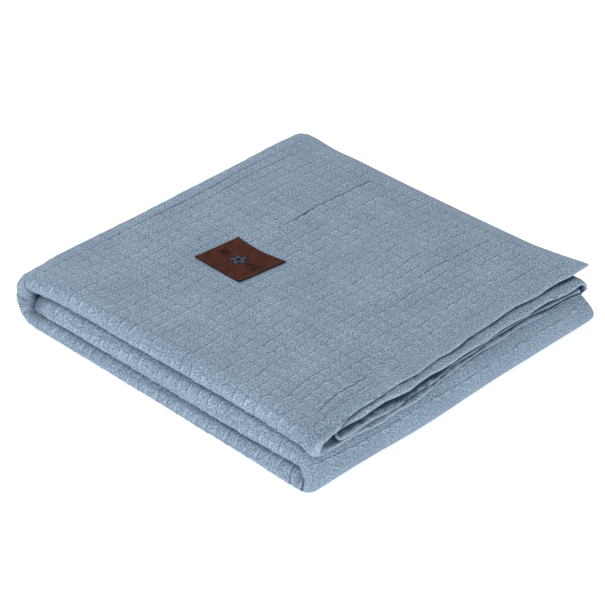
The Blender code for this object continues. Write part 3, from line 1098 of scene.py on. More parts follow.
@dataclass(frozen=True)
class LeatherFinish:
    """Dark brown leather with a printed flower between two sprigs, its sizes in millimetres."""

    tan: Colour = (0.088, 0.0285, 0.0205)
    deep: Colour = (0.060, 0.0195, 0.0145)
    edge: Colour = (0.028, 0.011, 0.009)
    slate: Colour = (0.060, 0.080, 0.115)
    ink: Colour = (0.006, 0.0045, 0.006)
    grain_share: float = 0.35
    grain_span: Span = (0.5, 0.75)
    cloud_span: Span = (0.35, 0.65)
    worn_span: Span = (0.30, 0.46)

    petals: float = 5.0
    petal_middle: float = 6.9
    petal_rise: float = 2.1
    petal_edge: Span = (0.0, 0.25)
    outline_width: Span = (0.85, 0.45)
    heart_radius: Span = (2.5, 2.0)
    stem_width: Span = (0.60, 0.30)
    stem_start: Span = (10.2, 10.8)
    stem_end: Span = (23.0, 22.4)
    leaves: tuple[float, ...] = (12.6, 16.6, 20.6)
    leaf_slope: float = 0.9
    leaf_half_width: float = 1.05
    leaf_place: float = 2.6
    leaf_half_length: float = 2.4
    leaf_edge: Span = (1.1, 0.8)

    def material(self) -> bpy.types.Material:
        """Builds the patch's material on its own map, in millimetres from its middle."""
        shader = Shader("brown_patch_leather")
        plane, across, up = shader.uv("patch")
        grain = shader.noise(plane, (1.3, 1.3, 1.0), 4.0)
        cloud = shader.noise(plane, (0.09, 0.09, 1.0), 2.0)
        pore = shader.noise(plane, (4.2, 4.2, 1.0), 2.0)
        colour = shader.mix(shader.smooth(cloud, *self.cloud_span), self.deep, self.tan)
        dull = shader.times(shader.smooth(grain, *self.grain_span), self.grain_share)
        colour = shader.mix(dull, colour, self.deep)

        radius = shader.math("POWER", self._squares(shader, across, up), 0.5)
        angle = shader.times(shader.math("ARCTAN2", up, across), self.petals)
        rim = shader.plus(shader.times(shader.math("COSINE", angle), self.petal_rise), self.petal_middle)
        inside = shader.minus(rim, radius)
        colour = shader.mix(shader.smooth(inside, *self.petal_edge), colour, self.slate)
        outline = shader.smooth(shader.size(inside), *self.outline_width)
        heart = shader.smooth(radius, *self.heart_radius)
        flower = shader.math("MAXIMUM", outline, heart)
        marks = shader.math("MAXIMUM", flower, self._sprigs(shader, across, up))
        colour = shader.mix(shader.times(marks, shader.smooth(grain, *self.worn_span)), colour, self.ink)
        colour = shader.mix(shader.attribute("rim"), colour, self.edge)

        relief = shader.bump(grain, 0.00035, 0.35)
        relief = shader.bump(pore, 0.0001, 0.4, relief)
        relief = shader.bump(shader.times(marks, -1.0), 0.0002, 0.5, relief)
        roughness = shader.plus(shader.times(grain, 0.2), 0.6)
        shader.set(Base_Color=colour, Roughness=roughness, Normal=relief, Metallic=0.0)
        shader.set(Specular_IOR_Level=0.03)
        return shader.material

    @staticmethod
    def _squares(shader: Shader, across: object, up: object) -> object:
        """The sum of the squares of two coordinates."""
        return shader.plus(shader.times(across, across), shader.times(up, up))

    def _sprigs(self, shader: Shader, across: object, up: object) -> object:
        """Two stems with pairs of leaves, one on each side of the flower.

        Args:
            shader: the material being built.
            across: distance from the middle along the patch.
            up: distance from the middle up the patch.

        Returns:
            The output that is 1 on the sprigs.
        """
        side = shader.size(across)
        height = shader.size(up)
        stem = shader.times(shader.smooth(height, *self.stem_width), shader.smooth(side, *self.stem_start))
        marks = shader.times(stem, shader.smooth(side, *self.stem_end))
        rise = shader.math("DIVIDE", shader.minus(height, self.leaf_place), self.leaf_half_length)
        for place in self.leaves:
            run = shader.minus(shader.minus(side, place), shader.times(height, self.leaf_slope))
            run = shader.math("DIVIDE", run, self.leaf_half_width)
            leaf = shader.smooth(self._squares(shader, run, rise), *self.leaf_edge)
            marks = shader.math("MAXIMUM", marks, leaf)
        return marks


@dataclass(frozen=True)
class FloorFinish:
    """Plain pale studio floor."""

    colour: Colour = (0.93, 0.93, 0.93)
    glow: float = 0.54

    def material(self) -> bpy.types.Material:
        """Builds the floor's material."""
        shader = Shader("studio_floor")
        shader.set(Base_Color=(*self.colour, 1.0), Roughness=0.95, Specular_IOR_Level=0.0, Metallic=0.0)
        shader.set(Emission_Color=(1.0, 1.0, 1.0, 1.0), Emission_Strength=self.glow)
        return shader.material


def deselect() -> None:
    """Leaves nothing selected, in object mode."""
    if bpy.context.object is not None and bpy.context.object.mode != "OBJECT":
        bpy.ops.object.mode_set(mode="OBJECT")
    bpy.ops.object.select_all(action="DESELECT")


def take_points(piece: bpy.types.Object) -> np.ndarray:
    """The piece's vertices, one row each."""
    flat = np.empty(len(piece.data.vertices) * 3)
    piece.data.vertices.foreach_get("co", flat)
    return flat.reshape(-1, 3)


def put_points(piece: bpy.types.Object, points: np.ndarray) -> None:
    """Moves the piece's vertices to these places."""
    piece.data.vertices.foreach_set("co", points.ravel())
    piece.data.update()


def store_number(piece: bpy.types.Object, name: str, values: np.ndarray) -> None:
    """Keeps one number for each vertex of the piece."""
    layer = piece.data.attributes.new(name, "FLOAT", "POINT")
    layer.data.foreach_set("value", values.astype(np.float32))


def store_map(piece: bpy.types.Object, name: str, columns: np.ndarray, rows: np.ndarray) -> None:
    """Keeps a UV map whose values are given for each vertex.

    Args:
        piece: the piece to map.
        name: the map's name.
        columns: the first coordinate of each vertex.
        rows: the second coordinate of each vertex.
    """
    layer = piece.data.uv_layers.get(name) or piece.data.uv_layers.new(name=name)
    corners = np.empty(len(piece.data.loops), dtype=np.int32)
    piece.data.loops.foreach_get("vertex_index", corners)
    values = np.stack((columns[corners], rows[corners]), axis=1).astype(np.float32)
    layer.uv.foreach_set("vector", values.ravel())


@dataclass(frozen=True)
class Zone:
    """A rectangle of the flat cloth that is divided more finely before folding."""

    along: tuple[float, float]
    across: tuple[float, float]
    cuts: int
    both_sides: bool = False


@dataclass(frozen=True)
class SlitShade:
    """How dark the painted shade in the slits between the folds is, and where. Spans on a roll are shares of
    its turn.
    """

    top_roll: float = 0.25
    bottom_roll: float = 0.35
    middle_upper: float = 0.36
    middle_lower: float = 0.26
    upper: Span = (0.24, 0.06)
    lower: Span = (0.68, 0.80)
    below: Span = (0.78, 0.94)
    roll_margin: float = 0.006

    between_plies: float = 0.92
    lighter_in_nose: float = 0.55
    hem: Span = (-0.0006, 0.0030)
    hem_reach: float = 0.06
    nose_start: Span = (0.010, 0.018)
    nose_end: Span = (0.024, 0.012)

    in_wrap: float = 0.85
    wrap_margin: float = 0.012
    hollow: Span = (-0.008, 0.004)
    at_tucked_hem: float = 0.55
    tucked: Span = (0.014, 0.001)


class BlanketCloth:
    """The pique cloth: cut flat, divided, folded and dressed."""

    span: float = 0.0124
    roll_margin: float = 0.014
    hem_reach: float = 0.024
    inner_reach: float = 0.030
    crease_wave: float = 0.0004
    crease_wave_length: float = 0.025
    cell_rise: Span = (-0.002, 0.003)
    into_bend: Span = (-0.010, 0.004)
    out_of_bend: float = 0.012
    stretched: float = 0.22
    relaxed: float = 0.55
    relaxing: Span = (0.42, 0.75)
    patch_margin: float = 0.004
    under_patch: float = 0.95
    line_start: Span = (-0.004, 0.012)
    last_line_column: float = 30.0
    # edge_light and edge_span: strength of the painted highlight along the folded hem edges, and its span
    # from the edge.
    edge_light: float = 0.40
    edge_span: Span = (0.0024, 0.0008)

    def __init__(self, fold: Fold, weave: Weave) -> None:
        """Keeps the fold and the weave.

        Args:
            fold: carries the flat cloth into the stack.
            weave: the raised cells.
        """
        self.fold = fold
        self.weave = weave

    def _stations(self, ends: list[tuple[float, int]]) -> np.ndarray:
        """Grid lines from stretches, each an end and the number of spans up to it."""
        lines = [ends[0][0]]
        for (start, _), (end, spans) in zip(ends, ends[1:]):
            lines.extend(np.linspace(start, end, spans + 1)[1:])
        return np.array(lines)

    def _cut_lines(self) -> tuple[np.ndarray, np.ndarray]:
        """Grid lines along and across the flat cloth, close together where it turns.

        Returns:
            The distances of the lines along and across.
        """
        fold = self.fold
        bends = fold.along_ends
        hem = self._stations(
            [(-fold.hem, 0), (-fold.hem_turn, 4), (fold.hem_turn, 4), (fold.hem, 5)]
            + [(fold.hem + fold.hem_blend, 2)]
        )
        numbers = np.arange(self.weave.first_column, self.weave.last_column + 0.5, 0.5)
        borders = self.weave.distance(numbers)
        in_wrap = (borders > bends[1] - 0.004) & (borders < bends[2] + 0.004)
        in_shoulder = (borders > bends[3] - 0.004) & (borders < bends[4] + 0.004)
        borders = borders[in_wrap | in_shoulder | (numbers % 1.0 == 0.0)]
        along = np.concatenate((hem, borders, (fold.along_total,)))
        turns = fold.across_ends
        across = self._stations(
            [(0.0, 0), (0.0004, 1), (fold.edge_round, 1), (fold.hem, 1), (turns[1], 26), (turns[2], 4)]
            + [(turns[3], 25), (turns[4], 6), (turns[5], 22), (turns[6], 5), (turns[7], 22)]
        )
        return along, across

    def cut_flat(self) -> bpy.types.Object:
        """Cuts the flat cloth and gives it its thickness.

        Returns:
            The flat slab, with x along and y across.
        """
        along, across = self._cut_lines()
        spans = (len(along) - 1, len(across) - 1)
        deselect()
        bpy.ops.mesh.primitive_grid_add(x_subdivisions=spans[0], y_subdivisions=spans[1], size=2.0)
        cloth = bpy.context.object
        cloth.name = "folded_cloth"
        points = take_points(cloth)
        columns = np.rint((points[:, 0] + 1.0) / 2.0 * spans[0]).astype(int)
        rows = np.rint((points[:, 1] + 1.0) / 2.0 * spans[1]).astype(int)
        put_points(cloth, np.stack((along[columns], across[rows], np.zeros(len(points))), axis=1))
        wall = cloth.modifiers.new("Thickness", "SOLIDIFY")
        wall.thickness = self.fold.stack.cloth
        wall.offset = 0.0
        bpy.ops.object.modifier_apply(modifier=wall.name)
        return cloth

    def _zones(self) -> list[Zone]:
        """The stretches of cloth that show."""
        fold = self.fold
        bends = fold.along_ends
        turns = fold.across_ends
        front = (turns[1] - self.roll_margin, turns[2] + self.roll_margin)
        back = (0.0, front[0])
        shown = fold.hem_turn
        return [
            Zone((shown, bends[1]), back, 4),
            Zone((shown, bends[1]), front, 4),
            Zone((bends[1], bends[2]), back, 2),
            Zone((bends[1], bends[2]), front, 3),
            Zone((bends[2], bends[3]), front, 4),
            Zone((bends[3], bends[4]), back, 3),
            Zone((bends[3], bends[4]), front, 3),
            Zone((bends[4], bends[5]), front, 4),
            Zone((-fold.hem, self.inner_reach), (front[1], fold.across_total), 1, True),
            Zone((-fold.hem, self.hem_reach), (0.0, front[1]), 1, True),
            Zone((self.inner_reach, fold.along_total), (turns[3] - 0.012, turns[4] + 0.012), 1, True),
        ]

    def divide(self, cloth: bpy.types.Object) -> None:
        """Divides the flat cloth where it will show."""
        zones = self._zones()
        for cuts in sorted({zone.cuts for zone in zones}, reverse=True):
            deselect()
            cloth.select_set(True)
            bpy.context.view_layer.objects.active = cloth
            bpy.ops.object.mode_set(mode="EDIT")
            bpy.ops.mesh.select_mode(type="FACE")
            bpy.ops.mesh.select_all(action="DESELECT")
            mesh = bmesh.from_edit_mesh(cloth.data)
            mesh.faces.ensure_lookup_table()
            smallest = 0.75 * self.span / (cuts + 1)
            here = [zone for zone in zones if zone.cuts == cuts]
            for face in mesh.faces:
                if abs(face.normal.z) < 0.5 or face.calc_area() < smallest * smallest:
                    continue
                middle = face.calc_center_median()
                face.select = any(self._covers(zone, middle, face.normal.z) for zone in here)
            bmesh.update_edit_mesh(cloth.data)
            bpy.ops.mesh.subdivide(number_cuts=cuts)
            bpy.ops.object.mode_set(mode="OBJECT")

    @staticmethod
    def _covers(zone: Zone, middle: Vector, facing: float) -> bool:
        """Whether a zone holds a face."""
        if facing < 0.0 and not zone.both_sides:
            return False
        inside = zone.along[0] <= middle.x <= zone.along[1]
        return inside and zone.across[0] <= middle.y <= zone.across[1]

    def _pads(self, along: np.ndarray, across: np.ndarray, places: np.ndarray) -> np.ndarray:
        """How strongly the cells stand out, from 0 in the hems to 1 in the open cloth.

        Args:
            along: distances along the cloth.
            across: distances across it.
            places: where the points lie once folded.

        Returns:
            The share of the full relief.
        """
        fold = self.fold
        rise = tuple(fold.hem + place for place in self.cell_rise)
        pads = ease(*rise, along) * ease(*rise, across) * ease(*rise, fold.along_total - along)
        start, end = fold.along_ends[3:5]
        round_bend = np.clip((along - start) / (end - start), 0.0, 1.0)
        in_bend = ease(start + self.into_bend[0], start + self.into_bend[1], along)
        in_bend = in_bend * ease(-end - self.out_of_bend, -end, -along)
        share = self.stretched + self.relaxed * ease(*self.relaxing, round_bend)
        pads = pads * (1.0 - in_bend * (1.0 - share))
        middle = np.array(Patch.corners).mean(axis=0)
        near = 1.0
        for axis, half in enumerate((Patch.along / 2, Patch.across / 2)):
            near = near * ease(half + self.patch_margin, half, np.abs(places[:, axis] - middle[axis]))
        return pads * (1.0 - self.under_patch * near * (places[:, 2] > 0.05))

    def _crease(self, plane: np.ndarray, ends: Ends, width: float) -> np.ndarray:
        """How deep points lie in one slightly wavy crease.

        Args:
            plane: the points' two coordinates, one row each.
            ends: the crease's first and second end.
            width: half its width.

        Returns:
            The share of the full depth at each point.
        """
        start = np.array(ends[:2])
        run = np.array(ends[2:]) - start
        length = np.linalg.norm(run)
        run = run / length
        offset = plane - start
        place = offset @ run
        wave = self.crease_wave * np.sin(place * math.tau / self.crease_wave_length + ends[0] * 900.0)
        away = offset @ np.array((-run[1], run[0])) + wave
        fade = min(0.010, 0.3 * length)
        inside = ease(-0.003, fade, place) * ease(-length - 0.003, -length + fade, -place)
        uneven = 0.75 + 0.25 * np.sin(place * math.tau / self.span + ends[1] * 700.0)
        return inside * uneven * np.exp(-((away / width) ** 2))

    def _creases(
        self, places: np.ndarray, normal: np.ndarray, along: np.ndarray, across: np.ndarray
    ) -> tuple[np.ndarray, np.ndarray]:
        """Depth of the creases of the top and the front, and how deep in painted shade the front creases
        are.

        Args:
            places: where the points lie once folded.
            normal: the directions in which the cloth faces there.
            along: distances along the cloth.
            across: distances across it.

        Returns:
            The depth below the smooth cloth, and the share of painted shade.
        """
        depth = np.zeros(len(places))
        shade = np.zeros(len(places))
        on_top = (along < self.fold.along_ends[1]) & (across < self.fold.across_ends[1])
        for x0, y0, x1, y1, width, deep in TOP_CREASES:
            depth += deep * np.where(on_top, self._crease(places[:, :2], (x0, y0, x1, y1), width), 0.0)
        in_front = self._front(places, normal)
        for x0, z0, x1, z1, width, deep, dark in FRONT_CREASES:
            mark = in_front * self._crease(places[:, (0, 2)], (x0, z0, x1, z1), width)
            depth += deep * mark
            shade += dark * mark
        return depth, np.clip(shade, 0.0, 1.0)

    @staticmethod
    def _front(places: np.ndarray, normal: np.ndarray) -> np.ndarray:
        """Share to which points face forward on the rolled front edges."""
        return ease(0.15, 0.45, -normal[:, 1]) * (places[:, 1] < -0.140)

    def _slits(self, along: np.ndarray, across: np.ndarray, side: np.ndarray, up: np.ndarray) -> np.ndarray:
        """How deep points lie in the painted shade of the slits between the folds, of the gaps between the
        hem's plies, of the wrap's hollow and of the tucked hem.

        Args:
            along: distances along the cloth.
            across: distances across it.
            side: 1 on the right side and -1 on the wrong side.
            up: 1 where the point faces up and -1 where it faces down.

        Returns:
            The share of painted shade at each point.
        """
        fold = self.fold
        dark = SlitShade()
        bends = fold.along_ends
        turns = fold.across_ends
        turned = np.clip((across - turns[1]) / (turns[2] - turns[1]), 0.0, 1.0)
        on_roll = (across > turns[1] - dark.roll_margin) & (across < turns[2] + dark.roll_margin)
        on_roll = on_roll & (side > 0.0)
        lower = ease(*dark.lower, turned)
        upper = ease(*dark.upper, turned)
        shade = np.where(along < bends[1], dark.top_roll * lower, 0.0)
        on_bottom = (along > bends[2]) & (along < bends[3])
        shade = np.where(on_bottom, dark.bottom_roll * ease(*dark.below, turned), shade)
        middle = np.maximum(dark.middle_upper * upper, dark.middle_lower * lower)
        shade = np.where(along > bends[4], middle, shade)
        shade = np.where(on_roll, shade, 0.0)

        forward, depth = fold.section(across)
        overhang = fold.top_hem(forward, np.maximum(depth - 1.0, 0.0)) - fold.top_hem(forward, depth)
        inward = np.abs(along) + np.where(up > 0.0, overhang, 0.0)
        inner = (side < 0.0) | (along < 0.0) | (across > turns[3])
        by_hem = ease(*dark.hem, inward - 0.001 + 0.002 * (up > 0.0)) * (along < dark.hem_reach)
        nose = ease(turns[1] + dark.nose_start[0], turns[1] + dark.nose_start[1], across)
        nose = nose * ease(-turns[2] - dark.nose_end[0], -turns[2] - dark.nose_end[1], -across)
        by_hem = by_hem * (dark.between_plies - dark.lighter_in_nose * nose)
        shade = np.where(inner, np.maximum(shade, by_hem), shade)

        near_wrap = (along > bends[1] - dark.wrap_margin) & (along < bends[2] + dark.wrap_margin)
        hollow = dark.in_wrap * ease(turns[2] + dark.hollow[0], turns[2] + dark.hollow[1], across)
        shade = np.where(near_wrap & (side > 0.0), np.maximum(shade, hollow), shade)
        tucked = dark.at_tucked_hem * ease(*dark.tucked, fold.along_total - along)
        return np.maximum(shade, tucked)

    def _lines(self, column: np.ndarray, places: np.ndarray, tone: Tone) -> np.ndarray:
        """How strongly the lines of one tone, light ones painted highlight and dark ones painted shade,
        stand out beside each column border of the top.

        Args:
            column: the points' column numbers.
            places: where the points lie once folded.
            tone: the lines to look at.

        Returns:
            The strength at each point.
        """
        strength = np.zeros(len(column))
        before, after = self.line_start
        for border, y0, y1, line_tone, full in COLUMN_LINES:
            if line_tone is tone:
                near = ease(0.60, 0.45, np.abs(column - border + 0.06))
                inside = ease(y0 + before, y0 + after, places[:, 1])
                inside = inside * ease(-y1 + before, -y1 + after, -places[:, 1])
                strength = np.maximum(strength, full * near * inside * (column < self.last_line_column))
        return strength

    def fold_up(self, cloth: bpy.types.Object) -> None:
        """Carries the divided cloth into its folds, with its relief and maps."""
        fold = self.fold
        flat = take_points(cloth)
        across = flat[:, 1]
        along = np.minimum(self.weave.gather(flat[:, 0], across), fold.along_total)
        side = np.sign(flat[:, 2])
        places = fold.middle(along, across)
        normal = fold.normals(along, across)
        pads = self._pads(along, across, places)
        column, row = self.weave.lattice(along, across)
        depth, shade = self._creases(places, normal, along, across)
        raised = np.where(side > 0.0, self.weave.relief(column, row) * pads - depth, 0.0)
        out = side * fold.half_thickness(along, across) + raised
        folded = places + out[:, None] * normal
        folded[:, 2] = np.maximum(folded[:, 2], 0.0)
        put_points(cloth, folded)
        for layer in list(cloth.data.uv_layers):
            cloth.data.uv_layers.remove(layer)
        store_map(cloth, "cut", along, across)
        store_map(cloth, "weave", column + 40.0, row + 40.0)
        store_number(cloth, "pads", pads)
        slits = self._slits(along, across, side, np.sign(side * normal[:, 2]))
        # The slits, the gaps between the hem's plies, the wrap's hollow and the front creases get painted
        # shade.
        store_number(cloth, "painted_shade", np.maximum(np.where(side > 0.0, shade, 0.0), slits))
        store_number(cloth, "front", self._front(places, normal))
        # The folded hem edges get a painted highlight.
        store_number(cloth, "edge", self.edge_light * ease(*self.edge_span, np.abs(along)))
        # Strengths of the painted highlight lines and the painted shade lines.
        store_number(cloth, "painted_highlight_line", self._lines(column, places, Tone.LIGHT))
        store_number(cloth, "painted_shade_line", self._lines(column, places, Tone.DARK))

    def _free_lines(self) -> list[Line]:
        """The free lines of the top and the front, light ones painted highlight and dark ones painted shade,
        with their ends on the flat cloth.
        """
        ends = np.array([line[:4] for line in FREE_LINES])
        starts = self.fold.locate(ends[:, 0], ends[:, 1])
        stops = self.fold.locate(ends[:, 2], ends[:, 3])
        top = np.stack((*starts, *stops), axis=1)
        front = self._on_front(np.array([line[:4] for line in FRONT_LINES]).reshape(-1, 2)).reshape(-1, 4)
        every = zip(np.concatenate((top, front)).tolist(), FREE_LINES + FRONT_LINES)
        return [(tuple(row), *line[4:]) for row, line in every]

    def _on_front(self, points: np.ndarray) -> np.ndarray:
        """Where points of the rolled front edges lie on the flat cloth.

        Args:
            points: their x and z in the part's frame, one row each.

        Returns:
            The distances along and across the cloth, one row each.
        """
        fold = self.fold
        along = np.linspace(fold.hem, fold.along_total, 1400)
        across = np.linspace(fold.across_ends[1], fold.across_ends[2], 41)
        flat = np.stack([values.ravel() for values in np.meshgrid(along, across)], axis=1)
        places = fold.middle(flat[:, 0], flat[:, 1])
        places = places + fold.stack.half_cloth * fold.normals(flat[:, 0], flat[:, 1])
        away = [(places[:, 0] - x) ** 2 + (places[:, 2] - z) ** 2 for x, z in points]
        return flat[np.argmin(away, axis=1)]

    def build(self, finish: PiqueFinish) -> bpy.types.Object:
        """Makes the folded cloth.

        Args:
            finish: how the cloth looks.

        Returns:
            The finished piece.
        """
        cloth = self.cut_flat()
        self.divide(cloth)
        self.fold_up(cloth)
        deselect()
        cloth.select_set(True)
        bpy.context.view_layer.objects.active = cloth
        bpy.ops.object.shade_smooth_by_angle(angle=math.radians(50.0))
        cloth.data.materials.clear()
        cloth.data.materials.append(finish.material(self._free_lines()))
        return cloth

    def surface(self, along: np.ndarray, across: np.ndarray, lift: float) -> tuple[np.ndarray, np.ndarray]:
        """Points a little above the cloth's right side.

        Args:
            along: distances along the cloth.
            across: distances across it.
            lift: height above the cloth's face.

        Returns:
            The points and the directions in which the cloth faces there.
        """
        fold = self.fold
        places = fold.middle(along, across)
        normal = fold.normals(along, across)
        column, row = self.weave.lattice(along, across)
        relief = self.weave.relief(column, row) * self._pads(along, across, places)
        out = fold.half_thickness(along, across) + relief + lift
        return places + out[:, None] * normal, normal


class Stitching:
    """A run of short thread stitches, each a small rounded capsule."""

    segments: int = 8
    rings: int = 5

    def build(
        self, name: str, middles: np.ndarray, runs: np.ndarray, ups: np.ndarray, size: Repeats
    ) -> bpy.types.Object:
        """Makes the stitches as one piece.

        Args:
            name: the piece's name.
            middles: the middle of each stitch.
            runs: the direction in which each stitch runs.
            ups: the direction in which the cloth faces there.
            size: length, width and height of a stitch.

        Returns:
            The finished piece.
        """
        deselect()
        bpy.ops.mesh.primitive_uv_sphere_add(segments=self.segments, ring_count=self.rings, radius=0.5)
        piece = bpy.context.object
        piece.name = name
        shape = take_points(piece)
        shape = shape[:, (2, 0, 1)] * np.array(size)
        faces = [tuple(face.vertices) for face in piece.data.polygons]
        side = np.cross(ups, runs)
        side /= np.linalg.norm(side, axis=1, keepdims=True)
        points = (
            middles[:, None, :]
            + shape[None, :, 0:1] * runs[:, None, :]
            + shape[None, :, 1:2] * side[:, None, :]
            + shape[None, :, 2:3] * ups[:, None, :]
        )
        starts = range(0, len(middles) * len(shape), len(shape))
        every = [tuple(corner + start for corner in face) for start in starts for face in faces]
        mesh = bpy.data.meshes.new(name)
        mesh.from_pydata(points.reshape(-1, 3).tolist(), [], every)
        mesh.shade_smooth()
        piece.data = mesh
        bpy.context.view_layer.objects.active = piece
        bpy.ops.object.mode_set(mode="EDIT")
        bpy.ops.mesh.select_all(action="SELECT")
        bpy.ops.mesh.normals_make_consistent(inside=False)
        bpy.ops.object.mode_set(mode="OBJECT")
        return piece


class HemStitching:
    """The sewing of the turned hem of the top panel and of the free back hem."""

    pitch: float = 0.0034
    size: tuple[float, float, float] = (0.0027, 0.00055, 0.00045)
    from_edge: float = 0.0108
    thread: ThreadFinish = ThreadFinish("hem_thread", (0.34, 0.44, 0.56), (0.24, 0.33, 0.44))

    def build(self, cloth: BlanketCloth) -> bpy.types.Object:
        """Sews along both hems.

        Args:
            cloth: the cloth that is sewn.

        Returns:
            The finished piece.
        """
        fold = cloth.fold
        across = np.arange(0.020, fold.across_ends[1] + 0.030, self.pitch)
        open_hem = (np.full_like(across, self.from_edge), across)
        along = np.arange(0.020, fold.along_ends[1], self.pitch)
        back_hem = (along, np.full_like(along, self.from_edge))
        places = np.concatenate((np.stack(open_hem, axis=1), np.stack(back_hem, axis=1)))
        middles, ups = cloth.surface(places[:, 0], places[:, 1], -0.00005)
        step = np.zeros_like(places)
        step[: len(across), 1] = self.pitch / 3
        step[len(across):, 0] = self.pitch / 3
        ahead, _ = cloth.surface(places[:, 0] + step[:, 0], places[:, 1] + step[:, 1], -0.00005)
        runs = ahead - middles
        runs /= np.linalg.norm(runs, axis=1, keepdims=True)
        piece = Stitching().build("hem_stitches", middles, runs, ups, self.size)
        piece.data.materials.append(self.thread.material())
        return piece


class Patch:
    """The leather patch, laid on the top panel."""

    along: float = 0.061
    across: float = 0.051
    thickness: float = 0.0012
    corners: tuple[tuple[float, float], ...] = (
        (-0.0802, -0.0613),
        (-0.0220, -0.0625),
        (-0.0177, -0.0093),
        (-0.0766, -0.0112),
    )
    spans: tuple[int, int] = (28, 24)
    lift: float = 0.00045
    curl: float = 0.0007
    curl_from: float = 0.8
    sink: float = 0.00029
    ripple: float = 0.00022
    edge_width: float = 0.0003
    smooth_angle: float = math.radians(50.0)

    def unevenness(self, right: np.ndarray, up: np.ndarray) -> np.ndarray:
        """How far the patch curls up towards its corners and ripples between them."""
        outer_right = np.clip(np.abs(right), self.curl_from, 1.0) ** 2
        outer_up = np.clip(np.abs(up), self.curl_from, 1.0) ** 2
        ripple = self.ripple * np.sin(right * 7.0 + 1.0) * np.sin(up * 5.0 + 0.4)
        return self.curl * outer_right * outer_up - self.sink + ripple

    @staticmethod
    def crowd(place: np.ndarray) -> np.ndarray:
        """Brings the grid's second line close to its border."""
        return np.interp(place, (-1.0, -0.90, 0.90, 1.0), (-1.0, -0.965, 0.965, 1.0))

    def outline(self, right: np.ndarray, up: np.ndarray) -> tuple[np.ndarray, np.ndarray]:
        """Pulls the flat patch into its slightly uneven outline.

        Args:
            right: places from -1 to 1 along the patch.
            up: places from -1 to 1 across it.

        Returns:
            The patch's x and y in the part's frame.
        """
        left_bottom, right_bottom, right_top, left_top = np.array(self.corners)
        low = left_bottom + (right_bottom - left_bottom) * ((1.0 + right) / 2)[:, None]
        high = left_top + (right_top - left_top) * ((1.0 + right) / 2)[:, None]
        flat = low + (high - low) * ((1.0 + up) / 2)[:, None]
        x = flat[:, 0] + 0.0006 * (1.0 - up * up) * (1.0 - right) / 2
        y = flat[:, 1] - 0.0036 * (1.0 - right * right) * (1.0 + up) / 2
        return x, y

    @staticmethod
    def place(cloth: BlanketCloth, x: np.ndarray, y: np.ndarray) -> np.ndarray:
        """Lays points of the patch on the top panel.

        Args:
            cloth: the cloth below.
            x: the points' x in the part's frame.
            y: their y.

        Returns:
            One row of x, y and z for each point, at the height of the smooth cloth's face.
        """
        face, _ = cloth.surface(*cloth.fold.locate(x, y), 0.0)
        return np.stack((x, y, face[:, 2]), axis=1)

    def build(self, cloth: BlanketCloth, finish: LeatherFinish) -> bpy.types.Object:
        """Makes the patch.

        Args:
            cloth: the cloth that carries it.
            finish: how the leather looks.

        Returns:
            The finished piece.
        """
        deselect()
        bpy.ops.mesh.primitive_grid_add(x_subdivisions=self.spans[0], y_subdivisions=self.spans[1], size=2.0)
        piece = bpy.context.object
        piece.name = "patch"
        flat = take_points(piece)
        right, up = self.crowd(flat[:, 0]), self.crowd(flat[:, 1])
        x, y = self.outline(right, up)
        places = self.place(cloth, x, y)
        places[:, 2] += self.lift + self.thickness / 2 + self.unevenness(right, up)
        put_points(piece, places)
        for layer in list(piece.data.uv_layers):
            piece.data.uv_layers.remove(layer)
        store_map(piece, "patch", right * self.along * 500.0, up * self.across * 500.0)
        border = np.maximum(ease(0.97, 1.0, np.abs(right)), ease(0.97, 1.0, np.abs(up)))
        store_number(piece, "rim", 0.7 * border)
        wall = piece.modifiers.new("Thickness", "SOLIDIFY")
        wall.thickness = self.thickness
        wall.offset = 0.0
        bpy.ops.object.modifier_apply(modifier=wall.name)
        soften = piece.modifiers.new("Edges", "BEVEL")
        soften.width = self.edge_width
        soften.segments = 2
        soften.limit_method = "ANGLE"
        soften.angle_limit = self.smooth_angle
        bpy.ops.object.modifier_apply(modifier=soften.name)
        bpy.ops.object.shade_smooth_by_angle(angle=self.smooth_angle)
        piece.data.materials.append(finish.material())
        return piece


class PatchStitching:
    """The thread that holds the patch, close inside its edges."""

    pitch: float = 0.0026
    inset: float = 0.0016
    step: float = 0.01
    size: tuple[float, float, float] = (0.0020, 0.00045, 0.00036)
    thread: ThreadFinish = ThreadFinish("patch_thread", (0.050, 0.022, 0.018), (0.030, 0.014, 0.012))

    def build(self, patch: Patch, cloth: BlanketCloth) -> bpy.types.Object:
        """Sews round the patch.

        Args:
            patch: the patch that is sewn.
            cloth: the cloth below it.

        Returns:
            The finished piece.
        """
        reach_x = 1.0 - 2 * self.inset / patch.along
        reach_y = 1.0 - 2 * self.inset / patch.across
        count_x = round(patch.along / self.pitch)
        count_y = round(patch.across / self.pitch)
        line_x = np.linspace(-reach_x, reach_x, count_x)[1:-1]
        line_y = np.linspace(-reach_y, reach_y, count_y)[1:-1]
        side_x = np.full_like(line_y, reach_x)
        side_y = np.full_like(line_x, reach_y)
        right = np.concatenate((line_x, line_x, -side_x, side_x))
        up = np.concatenate((-side_y, side_y, line_y, line_y))
        step_x = np.where(np.arange(len(right)) < 2 * len(line_x), self.step, 0.0)
        places = self._on_patch(patch, cloth, right, up)
        ahead = self._on_patch(patch, cloth, right + step_x, up + self.step - step_x)
        runs = ahead - places
        runs /= np.linalg.norm(runs, axis=1, keepdims=True)
        ups = np.tile(np.array((0.0, 0.0, 1.0)), (len(places), 1))
        piece = Stitching().build("patch_stitches", places, runs, ups, self.size)
        piece.data.materials.append(self.thread.material())
        return piece

    @staticmethod
    def _on_patch(patch: Patch, cloth: BlanketCloth, right: np.ndarray, up: np.ndarray) -> np.ndarray:
        """Points on the patch's upper face."""
        x, y = patch.outline(right, up)
        places = patch.place(cloth, x, y)
        places[:, 2] += patch.lift + patch.thickness + patch.unevenness(right, up)
        return places


